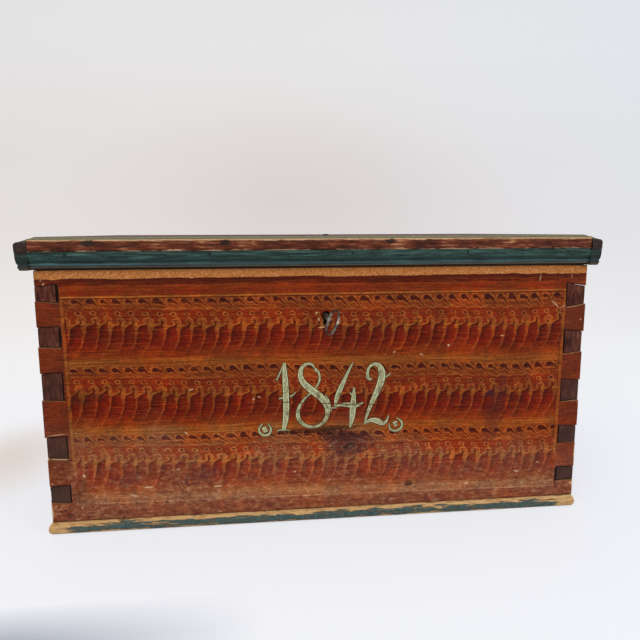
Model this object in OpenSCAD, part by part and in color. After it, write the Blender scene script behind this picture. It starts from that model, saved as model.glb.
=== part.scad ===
// Painted chest-shaped box of dovetailed pine boards, about 1850s, in millimetres.
// The origin is the middle of the underside, X runs along the front, Y runs from front to back.

/* [Case] */
// Width of the case over the front board
case_w = 500; // [420:1:600]
// Depth of the case from front face to back face
case_d = 290; // [240:1:340]
// Height of the front, back and side boards
board_h = 230; // [215:1:260]
// Thickness of the front, back and side boards
board_t = 18; // [16:0.5:20]
// Thickness of the two bottom planks
base_t = 12; // [10:0.5:16]
// How far the bottom stands out past the boards
base_over = 3; // [1:0.5:6]
// Looseness of the hand-cut corner joints, all round
joint_gap = 0.05; // [0.02:0.01:0.1]
// Distance of the seam between the bottom planks behind the middle
seam_y = 16; // [8:1:60]

/* [Lid] */
// Thickness of the lid board
lid_t = 28.2; // [24:0.1:32]
// How far the lid board's front edge stands out past the front board
lip_over = 9.6; // [8:0.1:12]
// Thickness of that front edge, above the front moulding
lip_t = 12.3; // [10:0.1:14]
// How far the lid stands out past the back board
rear_over = 10; // [8:0.5:14]
// Gap between the lid and the rim of the closed case
lid_gap = 0.3; // [0.2:0.05:0.6]
// Height of the moulding under the lid's edge
mould_h = 13.9; // [12:0.1:14]
// Width of the moulding at its thickest
mould_w = 9.2; // [8:0.1:10]
// How much lower the end strips sit than the lid board
end_drop = 2.2; // [1:0.1:3]
// Width of the end strips at their nose
end_w = 11; // [9:0.1:13]

/* [Hinges] */
// Distance of each hinge from the middle of the box
hinge_x = 165; // [120:1:190]
// Width of a hinge
hinge_w = 34; // [28:1:44]
// Outer radius of the hinge barrel
barrel_r = 3.5; // [3:0.1:3.5]
// Radius of the hinge pin
pin_r = 1.5; // [1.2:0.1:1.8]
// Thickness of the hinge leaves
leaf_t = 1.7; // [1.4:0.1:1.8]
// Length of the leaf that is let into the lid
lid_leaf = 46; // [36:1:60]
// Length of the leaf on the back board
back_leaf = 42; // [34:1:60]

/* [Lock] */
// Keyhole's distance to the right of the middle
key_x = 2.2; // [-10:0.1:10]
// Keyhole's distance below the rim
key_drop = 43.9; // [40:0.1:48]
// How far the worn key leans to the right
key_lean = 9.4; // [0:0.1:10]
// How far the worn key droops
key_droop = 9; // [0:0.1:10]
// Turn of the key at rest, clockwise from upright
key_turn = 22; // [0:1:30]
// Radius of the key's shank
shank_r = 2.1; // [1.8:0.1:2.4]
// Outer radius of the key's bow
bow_r = 11.9; // [10:0.1:13]
// Reach of the key's bit from the shank's axis
bit_reach = 9; // [8.6:0.1:9.2]
// Distance of the lid's staple to the right of the middle
staple_x = 5; // [4.5:0.1:5.5]

/* [Hidden] */
$fn = 48;
eps = 0.5;

// Levels and faces of the case
seam_gap = 0.4;
half_w = case_w / 2;
front_y = -case_d / 2;
back_y = case_d / 2;
inner_front_y = front_y + board_t;
rim_z = base_t + board_h;

// Pins of each side board, as [bottom, top, taper], measured up from the boards' lower edge
drawn_h = 230;
left_pins = [[17.7, 35.1, 1.4], [60.4, 81.7, 1.4], [114.2, 140, 1], [162.3, 181, 0.8], [201.8, 217.8, 1.8]];
right_pins = [[15.3, 30.4, 1], [54.3, 73.1, 1], [97, 119.6, 1.4], [145.1, 168.1, 2], [190.4, 213.2, 3]];

// Lid
lid_left = -half_w;
lid_right = half_w - 2;
lid_z0 = rim_z + lid_gap;
lid_z1 = lid_z0 + lid_t;
lip_y = front_y - lip_over;
lip_z = lid_z1 - lip_t;
lid_back_y = back_y + rear_over;
bevel_w = 4.7;
bevel_h = 2.2;

// Hinges: the axis lies just outside and below the back board's top corner
axis_y = back_y + 1;
axis_z = rim_z - 1.5;
pin_play = 0.06;
knuckle_gap = 0.3;
hinge_notch = 2.8;
pin_end = 0.8;
hinge_nail_r = 1;
hinge_head_r = 2.2;
lid_nail_len = 18;
back_nail_len = 15;
back_nail_drops = [15, 26, 36];
lid_nail_backs = [14, 27, 40];

// Lock: the mechanism lies where the leaning key reaches behind the front board
key_z = rim_z - key_drop;
keyhole_r = 3.8;
keyhole_top = 2.3;
keyhole_low = 2.8;
keyhole_drop = 9.2;
keyhole_wear = 0.8;
relief_r = 7.5;
relief_shift = 1.6;
plate_t = 1.6;
lock_depth = 18;
lock_y0 = inner_front_y;
lock_y1 = lock_y0 + lock_depth;
bolt_y = lock_y0 + 9;
reach_y = bolt_y - front_y;
work_x = key_x - reach_y * tan(key_lean);
work_z = key_z + reach_y * tan(key_droop) / cos(key_lean);
bolt_rate = 8.5;
talon_x = work_x + bolt_rate * key_turn * PI / 180;
lock_x0 = key_x - 40;
lock_x1 = key_x + 42;
lock_z0 = rim_z - 66;
lock_z1 = rim_z - 4;
flange = 6;
post_r = 1.6;
post_inset = 6;
rivet_r = 3;
rivet_dome_r = 3.4;
rivet_h = 1.2;
key_play = 0.08;
tip_r = 1.6;
bolt_t = 5;
bolt_z0 = work_z + 6.3;
bar_z0 = rim_z - 15.8;
bar_z1 = rim_z - 8.5;
bolt_mid_z = rim_z - 20.5;
wire_r = 1.2;
staple_half = 4.7;
staple_y = bolt_y;
staple_z = rim_z - 14.1;
staple_slot = 5.2;
prong_reach = 7;
prong_t = 1.3;
stud_x = 20;
stud_z = bolt_z0 + 6.4;
stud_r = 1.5;
stud_play = 0.2;
stud_back = 2.7;
stud_ahead = 9.1;
talon_h = 3.8;

// Places of the nails
nail_r = 1.2;
head_r = 2.6;
head_t = 1.2;
bottom_nail_xs = [-0.9, -0.45, 0, 0.45, 0.9];
bottom_nail_len = 38;
lock_nail_len = 14;
mould_nail_r = 0.7;
mould_nail_len = 20;
mould_head_r = 1.4;
mould_head_t = 0.5;
front_nail_xs = [-0.88, -0.4, 0.1, 0.52, 0.9];
end_nail_ys = [-0.8, 0.05, 0.85];

// Points of an arc about [cx, cy] from angle a0 to a1
function arc(cx, cy, r, a0, a1, n = 5) =
    [for (i = [0 : n]) let (a = a0 + (a1 - a0) * i / n) [cx + r * cos(a), cy + r * sin(a)]];

// A profile drawn as [distance along Y, height] and pulled along X from x0 to x1
module along_x(x0, x1) {
    translate([x0, 0, 0])
        rotate([90, 0, 90])
            linear_extrude(x1 - x0)
                children();
}

// A profile drawn as [X, height] and pulled along Y from y0 to y1
module along_y(y0, y1) {
    translate([0, y1, 0])
        rotate([90, 0, 0])
            linear_extrude(y1 - y0)
                children();
}

module block(x0, x1, y0, y1, z0, z1) {
    translate([x0, y0, z0])
        cube([x1 - x0, y1 - y0, z1 - z0]);
}

module bar_y(x, z, r, y0, y1) {
    translate([x, y1, z])
        rotate([90, 0, 0])
            cylinder(h = y1 - y0, r = r);
}

module bar_x(y, z, r, x0, x1) {
    translate([x0, y, z])
        rotate([0, 90, 0])
            cylinder(h = x1 - x0, r = r);
}

// Outline of one pin in the plane of the front board; side is -1 for left, 1 for right
module pin_outline(pin, side, grow) {
    low = base_t + pin[0] * board_h / drawn_h;
    high = base_t + pin[1] * board_h / drawn_h;
    inner = side * (half_w - board_t - grow);
    outer = side * (half_w + grow * 10);
    polygon([[inner, low - grow], [outer, low + pin[2] - grow],
        [outer, high - pin[2] + grow], [inner, high + grow]]);
}

module pin_row(pins, side, y0, y1, grow) {
    along_y(y0, y1)
        intersection() {
            for (pin = pins)
                pin_outline(pin, side, grow);
            translate([grow > 0 ? -case_w : -half_w, 0])
                square([grow > 0 ? case_w * 2 : case_w, case_w]);
        }
}

// Board with tails at both ends, as the front and the back are
module tail_board(y0, y1) {
    difference() {
        block(-half_w, half_w, y0, y1, base_t, rim_z);
        pin_row(left_pins, -1, y0 - eps, y1 + eps, joint_gap);
        pin_row(right_pins, 1, y0 - eps, y1 + eps, joint_gap);
        bottom_nail_shanks();
    }
}

// Board with pins at both ends, as the two sides are
module pin_board(pins, side) {
    difference() {
        union() {
            block(side < 0 ? -half_w : half_w - board_t, side < 0 ? board_t - half_w : half_w,
                inner_front_y + joint_gap, -inner_front_y - joint_gap, base_t, rim_z);
            pin_row(pins, side, front_y, inner_front_y + eps, 0);
            pin_row(pins, side, -inner_front_y - eps, back_y, 0);
        }
        bottom_nail_shanks();
    }
}

// Keyhole: a round head, worn upwards, over a slot that widens downwards
module keyhole_outline() {
    translate([key_x, key_z]) {
        hull() {
            circle(r = keyhole_r);
            translate([0, keyhole_wear])
                circle(r = keyhole_r);
        }
        polygon([[-keyhole_top, 0], [-keyhole_low, -keyhole_drop],
            [keyhole_low, -keyhole_drop], [keyhole_top, 0]]);
    }
}

module front_board() {
    color("#7a3216")
        difference() {
            tail_board(front_y, inner_front_y);
            along_y(front_y - eps, inner_front_y + eps)
                keyhole_outline();
            bar_y(key_x - relief_shift, key_z + relief_shift, relief_r, front_y + 5.5, inner_front_y + eps);
            at_lock_nails()
                bar_y(0, 0, nail_r, inner_front_y - lock_nail_len, inner_front_y + eps);
        }
}

module back_board() {
    color("#8a5a34")
        difference() {
            tail_board(-inner_front_y, back_y);
            for (side = [-1, 1]) {
                block(side * hinge_x - hinge_w / 2 - pin_end - knuckle_gap,
                    side * hinge_x + hinge_w / 2 + pin_end + knuckle_gap,
                    axis_y - barrel_r - 0.3, back_y + eps, axis_z - barrel_r - 0.5, rim_z + eps);
                for (drop = back_nail_drops)
                    bar_y(side * hinge_x + hinge_stagger(drop), axis_z - drop, hinge_nail_r,
                        back_y - back_nail_len, back_y + eps);
            }
        }
}

module left_side() {
    color("#6e2c16")
        pin_board(left_pins, -1);
}

module right_side() {
    color("#6e2c16")
        pin_board(right_pins, 1);
}

// Bottom plank with a rounded outer edge; edge is -1 for the front plank, 1 for the back one
module plank(edge) {
    out = -edge * (front_y - base_over);
    r = base_t / 2 - 0.6;
    seam = seam_y + edge * seam_gap / 2;
    difference() {
        intersection() {
            along_x(-half_w - base_over, half_w + base_over)
                polygon(concat([[seam, 0]],
                    edge < 0 ? [] : [[out - r, 0]],
                    edge < 0 ? [] : arc(out - r, r, r, -90, 0),
                    edge < 0 ? [] : arc(out - r, base_t - r, r, 0, 90),
                    [[seam, base_t]],
                    edge > 0 ? [] : arc(out + r, base_t - r, r, 90, 180),
                    edge > 0 ? [] : arc(out + r, r, r, 180, 270)));
            along_y(-case_d, case_d)
                polygon(concat(arc(half_w + base_over - r, r, r, -90, 0),
                    arc(half_w + base_over - r, base_t - r, r, 0, 90),
                    arc(r - half_w - base_over, base_t - r, r, 90, 180),
                    arc(r - half_w - base_over, r, r, 180, 270)));
        }
        bottom_nail_shanks();
        bottom_nail_heads();
    }
}

module bottom_front_plank() {
    color("#4f747a")
        plank(-1);
}

module bottom_back_plank() {
    color("#4f747a")
        plank(1);
}

// Calls its child at each nail's place in the underside
module at_bottom_nails() {
    inset = board_t / 2;
    for (x = bottom_nail_xs, side = [-1, 1])
        translate([x * (half_w - inset - 8), side * (back_y - inset), 0])
            children();
    for (y = [-0.62, -0.2, 0.2, 0.62], side = [-1, 1])
        translate([side * (half_w - inset), y * (back_y - inset), 0])
            children();
}

module bottom_nail_shanks() {
    at_bottom_nails()
        cylinder(h = bottom_nail_len, r = nail_r);
}

module bottom_nail_heads() {
    at_bottom_nails()
        translate([0, 0, -eps])
            cylinder(h = head_t + eps, r = head_r);
}

module bottom_nails() {
    color("#3a332e")
        at_bottom_nails() {
            translate([0, 0, 0.2])
                cylinder(h = bottom_nail_len - 0.2, r = nail_r);
            translate([0, 0, 0.2])
                cylinder(h = head_t - 0.2, r = head_r);
        }
}

// Frame that carries the key: its Y axis is the leaning shank, its Z axis points up the bit
module on_key_axis(turn) {
    translate([key_x, front_y, key_z])
        rotate([key_droop, 0, key_lean])
            rotate([0, turn, 0])
                children();
}

module lock_plate() {
    color("#3b3532")
        difference() {
            block(lock_x0 - flange, lock_x1 + flange, lock_y0, lock_y0 + plate_t, lock_z0, lock_z1);
            on_key_axis(0) {
                translate([0, board_t + 8, 0])
                    rotate([90, 0, 0])
                        cylinder(h = 16, r = shank_r + key_play);
                block(-1.7, 1.7, board_t - 6, board_t + 8, -bit_reach - 1, 0);
            }
            at_lock_nails()
                bar_y(0, 0, nail_r, lock_y0 - eps, lock_y0 + plate_t + eps);
            at_posts()
                bar_y(0, 0, post_r, lock_y0 - eps, lock_y0 + plate_t + eps);
        }
}

// Walls of the lock, with the slot that takes the lid's staple
module lock_rim() {
    color("#3f3936")
        difference() {
            block(lock_x0, lock_x1, lock_y0 + plate_t, lock_y1 - plate_t, lock_z0, lock_z1);
            block(lock_x0 + plate_t, lock_x1 - plate_t, lock_y0, lock_y1,
                lock_z0 + plate_t, lock_z1 - plate_t);
            block(staple_x - staple_slot / 2, staple_x + staple_slot / 2, lock_y0, lock_y1,
                lock_z1 - 3, lock_z1 + eps);
        }
}

module lock_cover() {
    color("#463f3b")
        difference() {
            block(lock_x0, lock_x1, lock_y1 - plate_t, lock_y1, lock_z0, lock_z1);
            on_key_axis(0)
                translate([0, board_t + lock_depth + 12, 0])
                    rotate([90, 0, 0])
                        cylinder(h = 24, r = tip_r + key_play);
            at_posts()
                bar_y(0, 0, post_r, lock_y1 - plate_t - eps, lock_y1 + eps);
        }
}

module at_posts() {
    for (x = [lock_x0 + post_inset, lock_x1 - post_inset])
        for (z = [lock_z0 + post_inset, lock_z0 + post_inset * 4])
            translate([x, 0, z])
                children();
}

// Posts riveted through the plate and the cover, with a low rounded head outside the cover
module lock_posts() {
    color("#4a4440")
        at_posts() {
            bar_y(0, 0, post_r, lock_y0, lock_y1);
            intersection() {
                translate([0, lock_y1 + rivet_h - rivet_dome_r, 0])
                    sphere(r = rivet_dome_r);
                bar_y(0, 0, rivet_r, lock_y1, lock_y1 + rivet_h + eps);
            }
        }
}

module at_lock_nails() {
    for (x = [lock_x0 - flange / 2, lock_x1 + flange / 2], z = [lock_z0 + 8, lock_z1 - 8])
        translate([x, 0, z])
            children();
}

module lock_nails() {
    color("#3a332e")
        at_lock_nails() {
            bar_y(0, 0, nail_r, inner_front_y - lock_nail_len, lock_y0 + plate_t);
            bar_y(0, 0, head_r, lock_y0 + plate_t, lock_y0 + plate_t + head_t);
        }
}

// Rail under the bolt and the stud in the bolt's slot
module bolt_guides() {
    color("#4a4440") {
        block(12, lock_x1 - plate_t, lock_y0 + plate_t, bolt_y + 3.5, bolt_z0 - 3.4, bolt_z0 - 0.3);
        bar_y(stud_x, stud_z, stud_r, lock_y0 + plate_t, lock_y1 - plate_t);
    }
}

// Leaf spring that presses on the bolt's upper edge, an arc standing on its two ends
module lock_spring() {
    half = 11;
    thick = 0.8;
    rise = lock_z1 - plate_t - bar_z1 - 1.1;
    r = (half * half + rise * rise) / (2 * rise);
    a = asin(half / r);
    cz = bar_z1 + 0.3 + r;
    color("#5a5552")
        along_y(bolt_y - 2, bolt_y + 2)
            translate([25, cz])
                polygon(concat(arc(0, 0, r, -90 - a, -90 + a, 12),
                    arc(0, 0, r - thick, -90 + a, -90 - a, 12)));
}

// Bolt: a nose bar above, a slot for the staple's loop, and a plate with the talon below
module lock_bolt() {
    nose = staple_x + wire_r + 1.6;
    tail = lock_x1 - 7.2;
    shoulder = nose + 8.7;
    heel = talon_x - 8;
    half = 2.7;
    color("#5b5450")
        difference() {
            along_y(bolt_y - bolt_t / 2, bolt_y + bolt_t / 2)
                polygon([[nose, bar_z0], [nose, bar_z1 - 1.2], [nose + 1.2, bar_z1], [tail, bar_z1],
                    [tail, bar_z0], [tail - 3, bar_z0 - 2], [tail - 3, bolt_z0], [talon_x + half, bolt_z0],
                    [talon_x + half, bolt_z0 + talon_h], [talon_x - half, bolt_z0 + talon_h],
                    [talon_x - half, bolt_z0], [heel, bolt_z0], [heel, bolt_mid_z - 3],
                    [heel + 3, bolt_mid_z], [shoulder, bolt_mid_z], [shoulder, bar_z0]]);
            along_y(bolt_y - bolt_t, bolt_y + bolt_t) {
                translate([stud_x - stud_back, stud_z - stud_r - stud_play])
                    square([stud_back + stud_ahead, (stud_r + stud_play) * 2]);
                for (x = [stud_x - stud_back, stud_x + stud_ahead])
                    translate([x, stud_z])
                        circle(r = stud_r + stud_play);
            }
        }
}

// Key: ring bow, collar, shank and a bit with two ward cuts, all on the leaning axis
module key() {
    bow_c = -19.7;
    wire_w = 1.4;
    wire_d = 1.9;
    ring_edge_r = 1.1;
    collar_r = 2.5;
    collar_front = -4.4;
    collar_back = 0.6;
    bit_half = 1.2;
    shank_end = bolt_y - front_y + 6.5;
    color("#57524c")
        on_key_axis(key_turn) {
            difference() {
                translate([0, bow_c, 0])
                    rotate([0, 90, 0])
                        rotate_extrude($fn = 64)
                            translate([bow_r - wire_w / 2, 0])
                                intersection() {
                                    circle(r = ring_edge_r, $fn = 32);
                                    square([wire_w, wire_d], center = true);
                                }
                bar_y(0, 0, 0.8, bow_c + bow_r - 3, bow_c + bow_r + 1);
            }
            bar_y(0, 0, shank_r, bow_c + bow_r - wire_w - 0.2, shank_end);
            bar_y(0, 0, collar_r, collar_front, collar_back);
            bar_y(0, 0, tip_r, shank_end - eps, shank_end + 5);
            difference() {
                block(-bit_half, bit_half, reach_y - 4, reach_y + 3.4, 0, bit_reach);
                block(-2, 2, reach_y - 1.4, reach_y - 0.4, 5.2, 7);
                block(-2, 2, reach_y + 1, reach_y + 4, 3.2, 4.4);
            }
        }
}

// Nails of a hinge leaf stand in a slight zigzag
function hinge_stagger(d) = d % 2 == 0 ? -6 : 6;

// Leaf nailed on the back board, with the two outer knuckles
module hinge_back_leaf(x) {
    third = hinge_w / 3;
    color("#4a4541")
        difference() {
            union() {
                block(x - hinge_w / 2, x + hinge_w / 2, back_y, back_y + leaf_t,
                    axis_z - back_leaf, axis_z - barrel_r - 0.6);
                for (x0 = [x - hinge_w / 2, x + third / 2 + knuckle_gap]) {
                    block(x0, x0 + third - knuckle_gap, back_y, back_y + leaf_t,
                        axis_z - barrel_r - 1, axis_z);
                    bar_x(axis_y, axis_z, barrel_r, x0, x0 + third - knuckle_gap);
                }
            }
            bar_x(axis_y, axis_z, pin_r + 0.02, x - hinge_w, x + hinge_w);
            for (drop = back_nail_drops)
                bar_y(x + hinge_stagger(drop), axis_z - drop, hinge_nail_r,
                    back_y - eps, back_y + leaf_t + eps);
        }
}

module hinge_back_leaf_left() {
    hinge_back_leaf(-hinge_x);
}

module hinge_back_leaf_right() {
    hinge_back_leaf(hinge_x);
}

module hinge_pin(x) {
    color("#5c5650")
        bar_x(axis_y, axis_z, pin_r, x - hinge_w / 2 - pin_end, x + hinge_w / 2 + pin_end);
}

module hinge_pin_left() {
    hinge_pin(-hinge_x);
}

module hinge_pin_right() {
    hinge_pin(hinge_x);
}

module hinge_back_nails() {
    color("#3a332e")
        for (side = [-1, 1], drop = back_nail_drops) {
            x = side * hinge_x + hinge_stagger(drop);
            bar_y(x, axis_z - drop, hinge_nail_r, back_y - back_nail_len, back_y + leaf_t);
            bar_y(x, axis_z - drop, hinge_head_r, back_y + leaf_t, back_y + leaf_t + 0.9);
        }
}

// Leaf let into the lid's underside, with a tongue that ends in the middle knuckle
module lid_leaf_outline(x, grow) {
    back = axis_y - barrel_r - 0.6;
    tip = back - lid_leaf;
    polygon([[x - hinge_w / 2 - grow, back + grow], [x - hinge_w / 2 - grow, tip + 12],
        [x - 9 - grow, tip - grow], [x + 9 + grow, tip - grow],
        [x + hinge_w / 2 + grow, tip + 12], [x + hinge_w / 2 + grow, back + grow]]);
}

module hinge_lid_leaf(x) {
    half = hinge_w / 6 - knuckle_gap;
    color("#4a4541")
        difference() {
            union() {
                translate([0, 0, lid_z0])
                    linear_extrude(leaf_t)
                        lid_leaf_outline(x, 0);
                block(x - half, x + half, axis_y - barrel_r - 1, axis_y, lid_z0, axis_z + barrel_r);
                bar_x(axis_y, axis_z, barrel_r, x - half, x + half);
            }
            bar_x(axis_y, axis_z, pin_r + pin_play, x - hinge_w, x + hinge_w);
            at_lid_leaf_nails(x)
                cylinder(h = 30, r = hinge_nail_r, center = true);
            at_lid_leaf_nails(x)
                translate([0, 0, -eps])
                    cylinder(h = 0.8 + eps, r = hinge_head_r);
        }
}

module at_lid_leaf_nails(x) {
    for (back = lid_nail_backs)
        translate([x + (back > 30 ? 0 : hinge_stagger(back)), axis_y - barrel_r - back, lid_z0])
            children();
}

module hinge_lid_leaf_left() {
    hinge_lid_leaf(-hinge_x);
}

module hinge_lid_leaf_right() {
    hinge_lid_leaf(hinge_x);
}

module hinge_lid_nails() {
    color("#3a332e")
        for (side = [-1, 1])
            at_lid_leaf_nails(side * hinge_x) {
                cylinder(h = lid_nail_len, r = hinge_nail_r);
                cylinder(h = 0.8, r = hinge_head_r);
            }
}

// Lid board: a front edge that overhangs the moulding, bevelled along the front and the ends
module lid_panel() {
    color("#5a2418")
        difference() {
            along_x(lid_left, lid_right)
                polygon(concat([[lid_back_y, lid_z0], [lid_back_y, lid_z1], [lip_y + bevel_w + 0.8, lid_z1]],
                    [[lip_y + 1, lid_z1 - bevel_h]],
                    arc(lip_y + 1.6, lid_z1 - bevel_h - 1.6, 1.6, 110, 180, 4),
                    arc(lip_y + 1, lip_z + 1, 1, 180, 270, 3),
                    [[front_y, lip_z], [front_y, lid_z0]]));
            for (side = [-1, 1])
                end_bevel(side < 0 ? lid_left : lid_right, side);
            for (side = [-1, 1]) {
                block(side * hinge_x - hinge_w / 2 - pin_end - knuckle_gap,
                    side * hinge_x + hinge_w / 2 + pin_end + knuckle_gap,
                    axis_y - barrel_r - 0.5, lid_back_y + eps, lid_z0 - eps, lid_z0 + hinge_notch);
                translate([0, 0, lid_z0 - eps])
                    linear_extrude(leaf_t + eps)
                        lid_leaf_outline(side * hinge_x, 0.15);
                at_lid_leaf_nails(side * hinge_x)
                    cylinder(h = lid_nail_len, r = hinge_nail_r);
            }
            for (side = [-1, 1])
                translate([staple_x, staple_y + side * staple_half, lid_z0 - eps])
                    cylinder(h = lid_t + eps * 2, r = wire_r);
            moulding_nail_shanks();
        }
}

module end_bevel(x, side) {
    along_y(front_y - 20, lid_back_y + eps)
        polygon([[x - side * bevel_w, lid_z1 + eps], [x - side * bevel_w, lid_z1],
            [x, lid_z1 - bevel_h], [x + side * eps, lid_z1 - bevel_h], [x + side * eps, lid_z1 + eps]]);
}

// Moulding profile as [distance out, height]: a flat nose, a shallow cove and a small bead
function moulding_points(w, h) = concat(
    [[0, 0], [0, h], [w - 0.6, h]],
    arc(w - 0.6, h - 0.6, 0.6, 90, 0, 2),
    [[w, h * 0.72], [w - 0.5, h * 0.56]],
    [for (i = [0 : 4]) let (a = i * 22.5) [w - 0.5 - 1.5 * (1 - cos(a)), h * 0.56 - 2.9 * sin(a)]],
    arc(w - 2.4, h * 0.19, 0.8, 60, -60, 4),
    [[w - 2.9, 0.5], [w - 3.4, 0]]);

module lid_front_moulding() {
    color("#2f4a44")
        difference() {
            along_x(lid_left, lid_right)
                translate([front_y, lip_z - mould_h])
                    mirror([1, 0])
                        polygon(moulding_points(mould_w, mould_h));
            moulding_nail_shanks();
            moulding_nail_heads();
        }
}

module end_profile(x, side) {
    along_y(lip_y + 0.4, lid_back_y)
        translate([x, 0])
            mirror([side < 0 ? 1 : 0, 0])
                children();
}

// Moulding across an end of the lid, under the end strip
module end_moulding(x, side) {
    color("#2c3f38")
        difference() {
            end_profile(x, side)
                translate([0, lid_z0 + 0.2])
                    polygon(moulding_points(end_w - 0.6, mould_h + 0.6));
            moulding_nail_shanks();
            moulding_nail_heads();
        }
}

module lid_left_moulding() {
    end_moulding(lid_left, -1);
}

module lid_right_moulding() {
    end_moulding(lid_right, 1);
}

// Strip across the lid board's end grain, its top sloping down to a rounded nose
module end_strip(x, side) {
    low = mould_h + 0.8;
    high = lid_t - end_drop;
    color("#3a2420")
        difference() {
            end_profile(x, side)
                translate([0, lid_z0])
                    polygon(concat([[0, low], [0, high], [end_w - 4.6, high - 1.8]],
                        arc(end_w - 3.4, high - 5.4, 3.4, 68, 0, 5),
                        [[end_w - 0.3, low + 0.4], [end_w - 0.6, low]]));
            moulding_nail_shanks();
            moulding_nail_heads();
        }
}

module lid_left_strip() {
    end_strip(lid_left, -1);
}

module lid_right_strip() {
    end_strip(lid_right, 1);
}

// Calls its child at each moulding nail, with the nail's own Z axis pointing into the lid
module at_moulding_nails() {
    for (t = front_nail_xs)
        translate([t * half_w, front_y - mould_w, lip_z - mould_h * 0.2])
            rotate([-90, 0, 0])
                children();
    for (t = end_nail_ys, z = [lid_z0 + mould_h * 0.8, lid_z0 + lid_t - end_drop - 5.6])
        for (side = [-1, 1]) {
            out = z < lid_z0 + mould_h ? end_w - 0.6 : end_w;
            translate([(side < 0 ? lid_left : lid_right) + side * out, t * back_y, z])
                rotate([0, -side * 90, 0])
                    children();
        }
}

module moulding_nail_shanks() {
    at_moulding_nails()
        cylinder(h = mould_nail_len, r = mould_nail_r);
}

module moulding_nail_heads() {
    at_moulding_nails()
        translate([0, 0, -eps])
            cylinder(h = mould_head_t + eps, r = mould_head_r);
}

module moulding_nails() {
    color("#2e2a27")
        at_moulding_nails() {
            cylinder(h = mould_nail_len, r = mould_nail_r);
            cylinder(h = mould_head_t, r = mould_head_r);
        }
}

// Staple of bent wire: loop below the lid, legs up through it, ends clinched over on top
module lock_staple() {
    color("#4f4a46") {
        translate([staple_x, staple_y, staple_z])
            rotate([90, 180, 90])
                rotate_extrude(angle = 180)
                    translate([staple_half, 0])
                        circle(r = wire_r, $fn = 32);
        for (side = [-1, 1]) {
            translate([staple_x, staple_y + side * staple_half, staple_z])
                cylinder(h = lid_z1 - staple_z + 0.6, r = wire_r);
            translate([staple_x, staple_y + side * staple_half, lid_z1])
                linear_extrude(prong_t)
                    polygon([[-2, -side * 1.6], [2, -side * 1.6],
                        [1, side * prong_reach], [-1, side * prong_reach]]);
        }
    }
}

front_board();
back_board();
left_side();
right_side();
bottom_front_plank();
bottom_back_plank();
bottom_nails();
lock_plate();
lock_rim();
lock_cover();
lock_posts();
lock_nails();
bolt_guides();
lock_spring();
lock_bolt();
key();
hinge_back_leaf_left();
hinge_back_leaf_right();
hinge_pin_left();
hinge_pin_right();
hinge_back_nails();
lid_panel();
lid_front_moulding();
lid_left_moulding();
lid_right_moulding();
lid_left_strip();
lid_right_strip();
moulding_nails();
lock_staple();
hinge_lid_leaf_left();
hinge_lid_leaf_right();
hinge_lid_nails();
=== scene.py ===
"""Finish, wear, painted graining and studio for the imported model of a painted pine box."""

import math
from functools import partial

import bpy
from mathutils import Matrix, Vector, noise


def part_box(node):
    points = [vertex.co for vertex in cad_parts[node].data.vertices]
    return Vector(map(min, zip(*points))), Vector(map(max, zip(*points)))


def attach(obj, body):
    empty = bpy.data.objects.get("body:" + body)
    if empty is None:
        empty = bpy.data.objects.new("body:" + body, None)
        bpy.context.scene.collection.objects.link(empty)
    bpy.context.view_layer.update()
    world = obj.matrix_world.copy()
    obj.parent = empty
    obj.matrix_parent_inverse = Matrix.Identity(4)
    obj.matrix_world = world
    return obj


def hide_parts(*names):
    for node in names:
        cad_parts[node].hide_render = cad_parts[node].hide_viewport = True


bl_info = {
    "name": "Painted pine box",
    "version": (1, 0, 0),
    "blender": (4, 5, 0),
    "location": "3D View > Sidebar > Painted box",
    "description": "Worn boards, grained paint, iron and a studio for a dovetailed pine box",
    "category": "Object",
}

MM = 0.001
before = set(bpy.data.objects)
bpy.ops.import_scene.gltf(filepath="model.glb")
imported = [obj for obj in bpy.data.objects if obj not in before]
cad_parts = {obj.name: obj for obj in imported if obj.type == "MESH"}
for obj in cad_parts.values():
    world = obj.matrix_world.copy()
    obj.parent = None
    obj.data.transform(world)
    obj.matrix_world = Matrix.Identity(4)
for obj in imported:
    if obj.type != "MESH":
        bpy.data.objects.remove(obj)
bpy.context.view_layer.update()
FRONT_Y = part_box("front_board")[0].y
BACK_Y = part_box("back_board")[1].y
RIM_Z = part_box("front_board")[1].z
BASE_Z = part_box("front_board")[0].z
HALF_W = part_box("front_board")[1].x
LID_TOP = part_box("lid_panel")[1].z


def linear(hex_colour):
    """Turns an sRGB hex value such as #a8622c into a linear colour with alpha."""
    parts = [int(hex_colour[i : i + 2], 16) / 255 for i in (1, 3, 5)]
    return [p / 12.92 if p <= 0.04045 else ((p + 0.055) / 1.055) ** 2.4 for p in parts] + [1.0]


def shades(full, *factors):
    """A colour at several strengths, as linear colours with alpha."""
    return [[min(c * factor, 1.0) for c in full] + [1.0] for factor in factors]


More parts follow.
